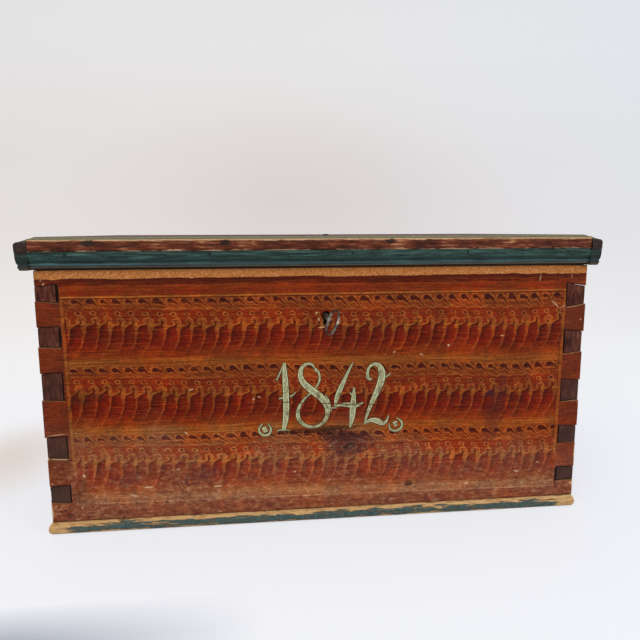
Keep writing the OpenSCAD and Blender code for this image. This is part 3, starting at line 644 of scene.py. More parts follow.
def base_material(full):
    """Bottom planks: blue-green milk paint on the rounded edge, rubbed down to pale pine in long streaks."""
    material, tree = new_tree("milk_painted_pine")
    n = partial(add, tree)
    vector, x, y, z = places(tree)
    reach_y = n("-", n("abs", y), -FRONT_Y / MM)
    reach_x = n("-", n("abs", x), HALF_W / MM)
    on_long = n(">", reach_y, reach_x)
    along = n("Mix", {0: on_long, 2: y, 3: x})
    reach = n("max", reach_y, reach_x)
    drawn = n("xyz", n("*", along, 0.11), n("*", z, 1.3), on_long)
    flakes = n("noise", drawn, 0.42, 6, 0.68)
    fine = n("noise", vector, 0.8, 4)
    bare = bare_pine(tree, along, z)
    bare = n("mix", 0.35, bare, "#e6c58e")
    blue = n("ramp", fine, stops=[*zip((0.3, 0.5, 0.7), shades(full, 0.56, 1, 1.95))])
    middle = n("map", n("abs", n("-", z, 5.6)), 1.5, 5.5, 0.1, -0.14)
    ends = n("map", n("abs", x), 226, 240, 0, -0.2)
    kept = n("smooth", n("+", n("+", flakes, middle), ends), 0.46, 0.52)
    outer = n("map", reach, -1, 0.5)
    kept = n("*", kept, outer)
    colour = n("mix", kept, bare, blue)
    brink = n("-", 1, n("*", n("abs", n("-", kept, 0.5)), 2))
    colour = n("mix", n("*", brink, 0.7), colour, "#4a3a24")
    crumbs = n("map", n("noise", drawn, 0.9, 6, 0.75), 0.52, 0.61, 0, 0.85)
    colour = n("mix", crumbs, colour, "#7a5430")
    # Darker toward the bottom edge: dirt, and painted shade where the planks stand on the floor
    darkening = n("map", n("*+", fine, 1.6, z), 3, 1.6, 0, 0.85)
    colour = n("mix", darkening, colour, "#4e3a2a")
    height = n("*+", kept, 0.5, n("*", flakes, 0.6))
    surface(tree, colour, n("map", fine, 0.3, 0.8, 0.6, 0.85), height, 0.4, Specular_IOR_Level=0.12)
    return material


def lid_material(full):
    """Lid board: dark red-brown paint, a grey-green bevel, arrises and lower edge chipped to pale pine."""
    material, tree = new_tree("chipped_brown_pine")
    n = partial(add, tree)
    vector, x, y, z = places(tree)
    top = LID_TOP / MM
    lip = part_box("lid_panel")[0].y / MM
    drawn = n("xyz", n("*", x, 0.12), y, z)
    wear = n("noise", drawn, 0.42, 6, 0.74)
    fine = n("noise", vector, 0.8, 5, 0.65)
    broad = n("noise", vector, 0.05, 3)
    brown = n("ramp", n("+", wear, n("*+", broad, 0.5, -0.25)),
        stops=[*zip((0.32, 0.44, 0.56), shades(full, 0.15, 0.5, 1)), (0.64, "#946040"), (0.74, "#bc9064")])
    bare = bare_pine(tree, x, y)
    light = n("mix", n("map", fine, 0.35, 0.7, 0.1, 0.8), "#d8b088", "#8d5f3a")

    # Height on the front lip decides what shows: chips low on it, a rubbed arris high on it
    from_top = n("-", top, z)
    arris = n("smooth", n("*+", wear, 7, from_top), 7.6, 6.6)
    arris = n("*", arris, n("map", from_top, 2, 2.3))
    chips = n("smooth", n("+", wear, n("map", from_top, 8, 12, -0.2, 0.1)), 0.58, 0.62)
    on_lip = n("map", y, lip + 1.4, lip + 1)
    edge = n("*", n("max", arris, chips), on_lip)
    colour = n("mix", edge, brown, light)

    for place, size in (
            ((-201, 265), (6, 3)), ((-86.5, 265), (5, 2.6)), ((59, 265.5), (4.5, 2.4)),
            ((-172, 262), (9, 0.7))):
        mark = n("*", spot(tree, x, z, place, size, 0.1, 1.6), on_lip)
        colour = n("mix", n("*", mark, 0.85), colour, "#1c1a18")

    # Bevel: a thin grey-green paint; rubbed lines at both of its edges
    slope = n("*", n("map", from_top, 0.15, 0.3), n("map", from_top, 2.5, 2.2))
    olive = n("ramp", fine, stops=((0.3, "#4c5040"), (0.5, "#6c6e56"), (0.7, "#928d70")))
    colour = n("mix", slope, colour, olive)

    # Top: long brush streaks, worn lighter in broad patches and toward the edges
    brushed = n("xyz", n("*", x, 0.015), y, 3)
    brushed = n("noise", brushed, 0.5, 5, 0.65)
    above = n("ramp", brushed, stops=((0.32, "#331610"), (0.5, "#4c2318"), (0.68, "#6a3826")))
    worn = n("noise", n("xyz", n("*", x, 0.4), y, 8), 0.016, 8, 0.62)
    worn = n("+", worn, n("map", n("abs", y), 100, 155, 0, 0.1))
    above = coats(tree, above,
        (n("map", worn, 0.54, 0.66, 0, 0.6), "#805840"),
        (n("map", fine, 0.62, 0.72, 0, 0.55), "#241009"))
    colour = n("mix", n("map", from_top, 0.15, 0.05), colour, above)

    # Underside and rebate: bare, browned pine, near black with painted shadow toward the front where the lid
    # sits over the rim; the back edge is painted all the way down
    under = n("*", n("map", from_top, 12.6, 13.2), n("map", y, 154.8, 154.2))
    painted_gap_shadow = n("map", y, -144, -120, 0.97, 0)
    bare = n("mix", painted_gap_shadow, bare, "#1a100a")
    colour = n("mix", under, colour, bare)
    height = n("*+", wear, 0.7, n("*", edge, -0.5))
    surface(tree, colour, n("map", fine, 0.3, 0.8, 0.4, 0.7), height, 0.5, Specular_IOR_Level=0.12)
    return material


def moulding_material(name, darkening, full):
    """Mouldings: dark blue-green oil paint, a little glossy, chipped white and worn brown along the bead,
    with a painted highlight on the bead and painted shade in the cove above it.
    """
    material, tree = new_tree(name)
    n = partial(add, tree)
    vector, x, y, z = places(tree)
    drawn = n("vector *", vector, (0.08, 0.3, 1))
    streak = n("noise", drawn, 0.5, 5, 0.6)
    fine = n("noise", vector, 0.7, 5, 0.7)
    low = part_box("lid_front_moulding")[0].z / MM
    up = n("-", z, low)
    green = n("ramp", n("+", streak, n("*+", fine, 0.4, -0.2)),
        stops=[*zip((0.3, 0.45, 0.57, 0.74), shades(full, 0.2, 0.48, 1, 2.1))])
    # Painted highlight along the bead, bluish grey, as the profile would catch the light
    bead = n("*", n("map", up, 1.4, 2.2), n("map", up, 3.6, 2.8))
    green = n("mix", n("*", bead, 0.65), green, "#445a62")
    # Painted shade in the cove above the bead
    dark = n("*", n("map", up, 3.6, 4.6), n("map", up, 8, 6.5))
    green = n("mix", n("*", dark, n("map", streak, 0.4, 0.6, 0.2, 0.75)), green, "#172826")
    brown = n("map", n("*+", fine, 2, up), 2.2, 1.4, 0, 0.9)
    green = coats(tree, green,
        (brown, "#6a5648"),
        (darkening, "#1e2420"))
    chip = n("map", fine, 0.71, 0.74)
    green = n("mix", chip, green, "#a9b3a4")
    gloss = n("map", fine, 0.3, 0.8, 0.3, 0.55)
    surface(tree, green, gloss, n("+", streak, fine), 0.25, Specular_IOR_Level=0.12)
    return material


def strip_material():
    """Strips on the lid's ends: near-black brown paint, olive on the sloping top."""
    material, tree = new_tree("dark_oil_paint")
    n = partial(add, tree)
    vector, x, y, z = places(tree)
    pores = n("noise", n("vector *", vector, (1, 0.15, 2)), 0.5, 5, 0.65)
    brown = n("ramp", pores, stops=((0.3, "#221814"), (0.5, "#332520"), (0.7, "#4e3a32")))
    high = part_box("lid_left_strip")[1].z / MM
    top = n("map", n("+", z, n("*", pores, 1.6)), high - 1.6, high - 1, 0, 0.85)
    colour = n("mix", top, brown, "#585a44")
    surface(tree, colour, n("map", pores, 0.3, 0.8, 0.4, 0.65), pores, 0.4, Specular_IOR_Level=0.12)
    return material


def iron_material(name, hues, rough, relief_mm):
    """Forged or sheet iron: hammer marks about 3 mm apart, dark scale in hollows, dull metal where rubbed."""
    material, tree = new_tree(name)
    n = partial(add, tree)
    vector, x, y, z = places(tree)
    dents = n("noise", vector, 0.35, 3)
    pits = n("noise", vector, 1.6, 4, 0.7)
    mix = n("*+", dents, 0.5, n("*", pits, 0.5))
    colour = n("ramp", mix, stops=((0.35, hues[0]), (0.5, hues[1]), (0.65, hues[2])))
    surface(tree, colour, n("map", mix, 0.3, 0.7, rough + 0.15, rough - 0.1), mix, relief_mm, Metallic=0.8)
    return material


def paper_material(level):
    """Seamless studio paper with painted light and shade: cool by the box, painted warm grey shade behind it
    and painted shadows of the box; it glows for the camera enough to look as pale as it is.
    """
    material, tree = new_tree("studio_paper")
    n = partial(add, tree)
    vector, x, y, z = places(tree)
    # Painted light and shade along the sweep: cool and pale on the floor, painted shade in warm grey at the
    # bend and behind the box, lighter again at the top
    sweep = n("map", n("+", y, z), -400, 3000)
    colour = n("ramp", sweep,
        stops=((0, "#f1f3f8"), (0.12, "#f1f2f7"), (0.3, "#f6f5f5"), (0.5, "#f0ecea"), (0.62, "#eae5e3"),
        (0.78, "#e8e4e2"), (0.95, "#ecebeb")))
    middle = n("xyz", n("map", x, -900, 1300, -1.6, 1.6), n("map", n("+", y, z), 1100, 2700, -1.6, 1.6))
    middle = n("length", middle)
    # Painted warm shade on the wall behind the box, and painted cooler, paler light toward the right
    colour = coats(tree, colour,
        (n("smooth", middle, 0, 1.7, 0.75, 0), "#dad0ce"),
        (n("map", x, 0, 1500, 0, 0.5), "#edf3fc"))
    # Painted shadow on the floor at the near left corner
    painted_corner_shadow = n("*", n("map", y, -248, -290, 0, 0.9), n("map", x, -60, -230))
    painted_corner_shadow = n("*", painted_corner_shadow, n("map", n("+", x, y), -900, -600))
    colour = n("mix", painted_corner_shadow, colour, "#9ba2b0")
    # Painted shadow of the box on the floor to its left, warm grey
    painted_box_shadow = n("xyz", n("*", n("+", x, 370), 1 / 110), n("*", n("+", y, -50), 1 / 190))
    painted_box_shadow = n("length", painted_box_shadow)
    colour = n("mix", n("smooth", painted_box_shadow, 0, 1, 0.9, 0), colour, "#dfd5cd")
    paper = n("BsdfDiffuse", {"Color": colour})
    glow = n("Emission", {"Color": colour, "Strength": level})
    seen = n("LightPath").outputs
    seen = n("max", seen["Is Camera Ray"], n("max", seen["Is Glossy Ray"], seen["Is Transmission Ray"]))
    mixed = n("MixShader", {0: n("*", seen, 0.7), 1: paper, 2: glow})
    n("OutputMaterial", {"Surface": mixed})
    return material


def numeral_material(name, hues):
    """Thick oil paint laid with a pointed brush: streaked in three hues, cracked, rubbed off in places."""
    material, tree = new_tree(name)
    n = partial(add, tree)
    vector, x, y, z = places(tree)
    drawn = n("vector *", vector, (1, 1, 0.45))
    fine = n("noise", drawn, 0.75, 5, 0.75)
    broad = n("noise", vector, 0.16, 4)
    cracks = n("TexVoronoi", {"Vector": drawn, "Scale": 0.5}, feature="DISTANCE_TO_EDGE")
    cracks = n("map", cracks, 0.02, 0.12, 0.7, 0)
    tone = n("*+", fine, 0.75, n("*", broad, 0.25))
    hairs = n("noise", drawn, 1.3, 3, 0.6)
    tone = n("*+", hairs, 0.6, n("*", tone, 0.4))
    colour = n("ramp", tone, stops=((0.37, hues[0]), (0.47, hues[1]), (0.6, hues[2])))
    colour = n("mix", n("*", cracks, 0.6), colour, "#55502f")

    # The pressed stroke's own slope says how far a place lies from its middle: 0 there, 0.17 near the edge
    sideways = n("vector *", n("TexCoord").outputs["Normal"], (1, 0, 1))
    slope = n("length", sideways)
    hair = n("*+", hairs, 0.05, n("-", slope, 0.095))
    hair = n("abs", hair)
    hair = n("*", n("map", hair, 0.006, 0.02, 0.9, 0), n("map", broad, 0.4, 0.48, 0.5, 1))
    colour = coats(tree, colour,
        (n("map", slope, 0.09, 0.12, 0, 0.8), hues[2]),
        (hair, "#37341c"))
    scratch = n("+", n("*+", x, 0.06, z), n("*", broad, 3))
    scratch = n("abs", n("-", scratch, 117.2))
    lost = n("max", n("map", broad, 0.56, 0.64, 0, 0.6), n("map", scratch, 0.3, 0.9, 0.85, 0))
    colour = n("mix", lost, colour, "#4e2c18")
    gloss = n("map", fine, 0.3, 0.8, 0.45, 0.65)
    surface(tree, colour, gloss, n("-", fine, cracks), 0.1, Specular_IOR_Level=0.08)
    return material


class BoxSizes(bpy.types.PropertyGroup):
    """Wear and relief."""

    rub: bpy.props.FloatProperty(
        name="Edge wear", description="Widest arris that years have rubbed", default=1.3 * MM, unit="LENGTH")
    stroke: bpy.props.FloatProperty(
        name="Numeral relief", description="How proud the numerals stand", default=0.22 * MM, unit="LENGTH")


class BoxColours(bpy.types.PropertyGroup):
    """Colours of the paints that a user may change."""

    numerals: bpy.props.FloatVectorProperty(
        name="Numerals", description="Full colour of the numerals",
        default=linear("#b4b58c")[:3], subtype="COLOR")
    mouldings: bpy.props.FloatVectorProperty(
        name="Mouldings", description="Colour of the mouldings' oil paint",
        default=linear("#344c46")[:3], subtype="COLOR")
    lid: bpy.props.FloatVectorProperty(
        name="Lid", description="Colour of the lid's paint",
        default=linear("#6c3420")[:3], subtype="COLOR")
    bottom: bpy.props.FloatVectorProperty(
        name="Bottom edge", description="Colour of the milk paint round the bottom",
        default=linear("#3c5656")[:3], subtype="COLOR")


class StudioSettings(bpy.types.PropertyGroup):
    """Camera and light."""

    lens: bpy.props.FloatProperty(
        name="Lens", description="Focal length", default=32.2, min=10.0, unit="CAMERA")
    key_power: bpy.props.FloatProperty(
        name="Main lamp", description="Power of the large lamp above the front",
        default=8.0, min=0.0, unit="POWER")
    world: bpy.props.FloatProperty(
        name="Room light", description="Strength of the light from all around",
        default=0.42, min=0.0, subtype="FACTOR")


def active_only(piece):
    """Selects one object alone."""
    bpy.ops.object.select_all(action="DESELECT")
    piece.select_set(True)
    bpy.context.view_layer.objects.active = piece


def apply_modifier(piece, kind, **settings):
    """Adds a modifier, sets it up and applies it."""
    active_only(piece)
    modifier = piece.modifiers.new(kind.title(), kind)
    for name, value in settings.items():
        setattr(modifier, name, value)
    bpy.ops.object.modifier_apply(modifier=modifier.name)


def copy_node(node):
    """Copies a CAD node, merges its loose triangles and joins the flat ones into whole faces."""
    active_only(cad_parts[node])
    bpy.ops.object.duplicate()
    piece = bpy.context.object
    piece.name = piece.data.name = f"worn_{node}"
    for key in list(piece.keys()):
        del piece[key]
    piece.parent = None
    piece.data.materials.clear()
    bpy.ops.mesh.customdata_custom_splitnormals_clear()
    bpy.ops.object.mode_set(mode="EDIT")
    bpy.ops.mesh.select_all(action="SELECT")
    bpy.ops.mesh.remove_doubles(threshold=1e-6)
    bpy.ops.mesh.dissolve_limited(angle_limit=math.radians(0.5))
    bpy.ops.object.mode_set(mode="OBJECT")
    return piece


def gouge(piece, centre, size, turn=0.0):
    """Takes a rough bite out of a piece with a lumpy ball. Sizes are in millimetres."""
    bpy.ops.object.select_all(action="DESELECT")
    bpy.ops.mesh.primitive_ico_sphere_add(subdivisions=3, radius=1.0)
    ball = bpy.context.object
    for vertex in ball.data.vertices:
        vertex.co *= 1.0 + 0.28 * noise.noise(vertex.co * 1.7 + Vector(centre))
        vertex.co = Matrix.Rotation(turn, 3, "Y") @ Vector([c * s for c, s in zip(vertex.co, size)])
        vertex.co = (vertex.co + Vector(centre)) * MM
    apply_modifier(piece, "BOOLEAN", object=ball, operation="DIFFERENCE", solver="EXACT")
    bpy.data.objects.remove(ball)


def rub_edges(piece, steps, width_mm, spots=(), scale=1 / 14):
    """Rubs the edges of a piece down, more or less along each edge, and most near the given spots.

    steps are the distances between cross cuts along X, Y and Z in millimetres, with 0 for none. No cut
    passes where a slanting or rounded edge would be cut at a flat angle. Each spot is a place, a reach and a
    width in millimetres.
    """
    taken = [[], [], []]
    for edge in piece.data.edges:
        a, b = (piece.data.vertices[i].co for i in edge.vertices)
        for axis in range(3):
            if 0.01 * MM < abs(a[axis] - b[axis]) < 4 * MM:
                taken[axis].append((min(a[axis], b[axis]) - MM, max(a[axis], b[axis]) + MM))
    low = [min(v.co[i] for v in piece.data.vertices) for i in range(3)]
    high = [max(v.co[i] for v in piece.data.vertices) for i in range(3)]
    active_only(piece)
    bpy.ops.object.mode_set(mode="EDIT")
    for axis, step in enumerate(steps):
        normal = [float(i == axis) for i in range(3)]
        place, count = low[axis] + step * MM * 0.6, 0
        while step and place < high[axis] - step * MM * 0.3:
            if any(a < place < b for a, b in taken[axis]):
                place += 0.5 * MM
                continue
            bpy.ops.mesh.select_all(action="SELECT")
            bpy.ops.mesh.bisect(plane_co=[c * place for c in normal], plane_no=normal)
            count += 1
            place += step * MM * (1 + 0.4 * math.sin(count * 2.4))
    bpy.ops.mesh.select_all(action="DESELECT")
    bpy.ops.mesh.select_mode(type="EDGE")
    bpy.ops.mesh.edges_select_sharp(sharpness=math.radians(25))
    bpy.ops.object.mode_set(mode="OBJECT")
    mesh = piece.data
    widest = max([width_mm] + [spot[2] for spot in spots])
    weights = mesh.attributes.new("bevel_weight_edge", "FLOAT", "EDGE")
    for edge in mesh.edges:
        if edge.select:
            ends = [mesh.vertices[i].co for i in edge.vertices]
            middle = (ends[0] + ends[1]) / 2 / MM
            luck = 0.5 + 0.5 * noise.fractal(middle * scale, 0.7, 2.0, 4)
            width = width_mm * (0.22 + 0.78 * min(max(luck * 1.5 - 0.25, 0.0), 1.0) ** 2)
            if (ends[0] - ends[1]).length < MM:
                width = min(width, 0.2)
            for place, reach, wide in spots:
                near = 1 - (middle - Vector(place)).length / reach
                if near > 0:
                    width = max(width, wide * min(1.0, near * 2.5) * (0.6 + 0.4 * luck))
            weights.data[edge.index].value = width / widest
    apply_modifier(piece, "BEVEL", width=widest * MM, segments=2, limit_method="WEIGHT",
        use_clamp_overlap=False)
    active_only(piece)
    bpy.ops.object.shade_smooth_by_angle(angle=math.radians(35))


def finish_piece(piece, nodes, body, material):
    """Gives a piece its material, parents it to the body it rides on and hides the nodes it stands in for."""
    piece.data.materials.clear()
    piece.data.materials.append(material)
    for face in piece.data.polygons:
        face.material_index = 0
    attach(piece, body)
    if nodes:
        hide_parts(*nodes)


# How far the tails stand out from the shrunken sides, from the top down: (height of the tail's foot, amount),
# in millimetres, at the right and the left
PROUD = {1.0: ((210.0, 1.5), (170.0, 1.6), (120.0, 1.2), (75.0, 0.9), (30.0, 0.4), (0.0, 0.0)),
    -1.0: ((220.0, 0.0), (180.0, 0.6), (140.0, 1.0), (80.0, 1.1), (40.0, 0.4), (0.0, 0.0))}


class PAINTEDBOX_OT_case(bpy.types.Operator):
    """Front, side and back boards with rubbed arrises, a worn corner and open joints"""

    bl_idname = "paintedbox.case"
    bl_label = "Case boards"

    def execute(self, context):
        rub = context.scene.box_sizes.rub / MM
        front = copy_node("front_board")
        for vertex in front.data.vertices:
            side = math.copysign(1.0, vertex.co.x)
            if abs(vertex.co.x) > HALF_W - 0.1 * MM:
                proud = next(amount for height, amount in PROUD[side] if vertex.co.z > height * MM)
                vertex.co.x += side * proud * MM
        heights = (38.0, 80.0, 140.0, 184.0, 220.0)
        corners = {side: [((side * 241.0, -145.0, z), 26.0, 0.8) for z in heights] for side in (-1, 1)}
        knocks = [
            ((251.0, -145.0, 242.0), 9.0, 3.0), ((241.0, -145.0, 203.6), 13.0, 1.4),
            ((241.0, -145.0, 158.0), 13.0, 1.2)]
        rub_edges(front, (4.5, 0, 9.0), rub, corners[-1] + corners[1] + knocks)
        gouge(front, (-250.5, -145.5, 73.0), (4.5, 3.0, 2.2))
        finish_piece(front, ["front_board"], "case", front_material())
        for node, side in (("left_side", -1), ("right_side", 1)):
            board = copy_node(node)
            rub_edges(board, (0, 6.0, 9.0), rub, corners[side])
            if side < 0:
                gouge(board, (-252.0, -147.0, 38.0), (4.0, 5.0, 10.0))
            finish_piece(board, [node], "case", side_material(side))
        back = copy_node("back_board")
        rub_edges(back, (7.0, 0, 12.0), rub)
        finish_piece(back, ["back_board"], "case", back_material())
        return {"FINISHED"}


class PAINTEDBOX_OT_bottom(bpy.types.Operator):
    """Two bottom planks with a rubbed, wavy rounded edge"""

    bl_idname = "paintedbox.bottom"
    bl_label = "Bottom planks"

    def execute(self, context):
        rub = context.scene.box_sizes.rub / MM
        material = base_material(context.scene.box_colours.bottom)
        for node in ("bottom_front_plank", "bottom_back_plank"):
            plank = copy_node(node)
            for vertex in plank.data.vertices:
                if vertex.co.x > HALF_W + 1.5 * MM and vertex.co.y < 0.0:
                    vertex.co.x -= 1.2 * MM
            rub_edges(plank, (5.0, 8.0, 0), rub)
            finish_piece(plank, [node], "case", material)
        return {"FINISHED"}


class PAINTEDBOX_OT_lid(bpy.types.Operator):
    """Lid board with chipped lip and rubbed bevel, its mouldings and the strips over its end grain"""

    bl_idname = "paintedbox.lid"
    bl_label = "Lid"

    def execute(self, context):
        rub = context.scene.box_sizes.rub / MM
        paints = context.scene.box_colours
        board = copy_node("lid_panel")
        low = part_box("lid_panel")[0].y / MM
        chips = [((along, low, 258.2), reach, wide) for along, reach, wide in (
            (-226.0, 22.0, 1.8), (-96.0, 14.0, 1.5), (-60.0, 10.0, 1.6), (118.0, 12.0, 1.5),
            (222.0, 20.0, 1.8))]
        rub_edges(board, (5.0, 9.0, 0), rub, chips)
        finish_piece(board, ["lid_panel"], "lid", lid_material(paints.lid))
        green = moulding_material("green_oil_paint", 0.0, paints.mouldings)
        end_green = moulding_material("grimy_green_oil_paint", 0.65, paints.mouldings)
        dark = strip_material()
        for node, steps, material in (
                ("lid_front_moulding", (5.0, 0, 0), green), ("lid_left_moulding", (0, 6.0, 0), end_green),
                ("lid_right_moulding", (0, 6.0, 0), end_green), ("lid_left_strip", (0, 6.0, 0), dark),
                ("lid_right_strip", (0, 6.0, 0), dark)):
            piece = copy_node(node)
            rub_edges(piece, steps, rub * 0.6)
            finish_piece(piece, [node], "lid", material)
        return {"FINISHED"}


# Each stroke is a run of (x, z, half width) on the front, in millimetres, drawn as the brush went
STROKES = (
    # 1
    ((-44, 139, 0.5), (-40.5, 146, 0.9), (-36.5, 155.5, 0.4)),
    ((-36.6, 155.4, 1.2), (-36.2, 146, 2.4), (-35.4, 128, 2.9), (-35.2, 110, 2.8), (-36.4, 98, 2.6),
        (-38, 92, 1.6)),
    ((-43.6, 91, 0.4), (-38.6, 92.2, 0.8), (-32.4, 90.8, 0.4)),
    ((-42, 121.5, 0.4), (-38.5, 122.6, 0.8), (-35.5, 122.6, 0.8)),
    ((-31.5, 123.5, 0.8), (-28, 124.8, 0.5), (-26.5, 127.5, 0.3)),
    # 8
    ((-7.5, 146, 0.6), (-9, 152, 0.9), (-14, 154.6, 1.1), (-20, 152, 1.5), (-22.6, 144.5, 2.2),
        (-20, 136.5, 2.8), (-12, 129, 3.3), (-2, 121.5, 3.2), (3.6, 112, 2.4), (3, 102, 1.7), (-3, 94.6, 1.2),
        (-12, 92.6, 1.2), (-21, 96.4, 1.6), (-25.4, 105, 1.8), (-23, 115, 1.2), (-16, 123, 0.8),
        (-8, 130, 0.7), (-3.6, 138, 0.9), (-4.6, 146.5, 0.9), (-9, 150.5, 0.4)),
    ((1.2, 124, 0.3), (4, 119, 0.8), (5.8, 113, 0.9), (6.8, 107.5, 0.4)),
    ((5.8, 110.5, 0.7), (9, 111.4, 0.7), (11.6, 111, 0.3)),
    # 4
    ((27, 154, 0.5), (22, 144, 1.1), (16, 131, 2.3), (11.4, 119.5, 2.2), (10, 113, 0.7)),
    ((10.2, 112.6, 0.7), (16.4, 114.4, 1.5), (24.4, 113.2, 2.5), (32, 112, 1.6), (37, 115.6, 0.4)),
    ((28.2, 130, 0.5), (28, 122, 2), (27.2, 110, 3.2), (26.4, 98, 2.3), (24.4, 91.4, 0.6)),
    ((24.2, 125.6, 0.3), (25.8, 123.6, 0.7), (27.2, 122.4, 0.7)),
    ((23.6, 101.6, 0.3), (24.6, 104, 0.6), (25.8, 105, 0.7)),
    # 2
    ((41.4, 138, 1.5), (40.4, 143, 1.2), (42.4, 149.6, 1.1), (47.4, 152.6, 1.3), (52.8, 150, 2.4),
        (55.2, 142, 3.5), (53, 132, 3.3), (48, 121, 2.4), (43, 110, 1.6), (39.4, 99, 1), (38.6, 94.6, 0.6)),
    ((38.8, 95, 0.7), (44, 98.4, 1.8), (50.4, 97, 3), (56.2, 93.6, 2.2), (60.4, 96.6, 0.8),
        (61.6, 102.4, 0.3)),
    ((58, 139, 0.6), (60.4, 140.4, 0.6), (62.8, 142.8, 0.3)),
    ((41.4, 138.4, 1.4), (43.2, 136.6, 1), (45.2, 138.6, 0.4)),
    # A dot with a curled tail on each side
    ((-57, 91.6, 2.4), (-55.4, 92.6, 3.2), (-53.6, 93.4, 2.4)),
    ((-57.6, 98, 0.4), (-60.8, 95, 0.8), (-60.6, 89.4, 1), (-55.6, 86.2, 1.1), (-50.4, 88.6, 1),
        (-49.4, 94.2, 0.8), (-52.4, 98.2, 0.4)),
    ((66.6, 92.6, 2.3), (68.2, 93.4, 3), (70, 93.6, 2.3)),
    ((69.4, 99, 0.4), (74.2, 96.2, 0.8), (75.2, 90.6, 1), (71.2, 86.4, 1), (65.6, 86.2, 0.9),
        (62, 89.4, 0.7), (62.4, 93.6, 0.4)),
)
# A stroke of this half width, in millimetres, stands proud by the whole relief, and finer ones by less
WIDEST = 4.0


def brush_strokes(name, widen, relief, lift):
    """Lays the strokes as round curves, turns them into a mesh and presses them flat on the front."""
    curve = bpy.data.curves.new(name, "CURVE")
    curve.dimensions = "3D"
    curve.bevel_depth = 1.0
    curve.bevel_resolution = 3
    curve.use_fill_caps = True
    for stroke in STROKES:
        spline = curve.splines.new("NURBS")
        spline.points.add(len(stroke) - 1)
        for point, (x, z, half) in zip(spline.points, stroke):
            point.co = (x, 0.0, z, 1.0)
            point.radius = half + widen
        spline.order_u = 3
        spline.use_endpoint_u = True
        spline.resolution_u = 8
    piece = bpy.data.objects.new(name, curve)
    bpy.context.scene.collection.objects.link(piece)
    active_only(piece)
    bpy.ops.object.convert(target="MESH")
    for vertex in piece.data.vertices:
        vertex.co.y *= relief / MM / WIDEST
        vertex.co = vertex.co * MM + Vector((0.0, FRONT_Y - lift, 0.0))
    bpy.ops.object.shade_smooth()
    return piece


class PAINTEDBOX_OT_numerals(bpy.types.Operator):
    """Four brushed numerals with spurs, over a darker outline, between two dots with curled tails"""

    bl_idname = "paintedbox.numerals"
    bl_label = "Numerals"

    def execute(self, context):
        relief = context.scene.box_sizes.stroke
        outline = brush_strokes("numeral_outlines", 0.7, relief * 0.6, 0.0)
        finish_piece(outline, [], "case",
            numeral_material("thin_olive_paint", ("#160e08", "#241c10", "#3c3620")))
        strokes = brush_strokes("numeral_strokes", 0.0, relief, 0.03 * MM)
        hues = shades(context.scene.box_colours.numerals, 0.25, 0.7, 1.32)
        finish_piece(strokes, [], "case", numeral_material("sage_oil_paint", hues))
        return {"FINISHED"}


# Finishes of the iron: hues from dark to light, roughness, relief in millimetres and the nodes that have them
IRON = {
    "worn_forged_iron": (("#35312e", "#6f6962", "#c8bfae"), 0.27, 0.15, ("key",)),
    "blackened_sheet_iron": (("#1e1c1b", "#343029", "#5a4434"), 0.55, 0.15,
        ("lock_plate", "lock_rim", "lock_cover", "lock_posts")),
    "oiled_iron": (("#3a3835", "#5c5954", "#7c7870"), 0.35, 0.1,
        ("lock_bolt", "lock_spring", "bolt_guides")),
    "forged_hinge_iron": (("#241f1c", "#3a312a", "#5c4636"), 0.6, 0.2,
        ("hinge_back_leaf_left", "hinge_back_leaf_right", "hinge_pin_left", "hinge_pin_right",
            "hinge_lid_leaf_left", "hinge_lid_leaf_right")),
    "hand_cut_nail_iron": (("#1c1917", "#2e2824", "#4a3a2e"), 0.65, 0.15,
        ("bottom_nails", "lock_nails", "hinge_back_nails", "hinge_lid_nails", "lock_staple")),
    "painted_nail_iron": (("#16211d", "#202f2a", "#2c3d37"), 0.5, 0.1, ("moulding_nails",)),
}


class PAINTEDBOX_OT_iron(bpy.types.Operator):
    """Finishes of the key, the lock, the hinges and the nails"""

    bl_idname = "paintedbox.iron"
    bl_label = "Ironwork"

    def execute(self, context):
        for name, (hues, rough, relief, nodes) in IRON.items():
            material = iron_material(name, hues, rough, relief)
            for node in nodes:
                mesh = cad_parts[node].data
                mesh.materials.clear()
                mesh.materials.append(material)
        return {"FINISHED"}


def aim(piece, target):
    """Turns a lamp at a point."""
    piece.rotation_euler = (Vector(target) - piece.location).to_track_quat("-Z", "Y").to_euler()


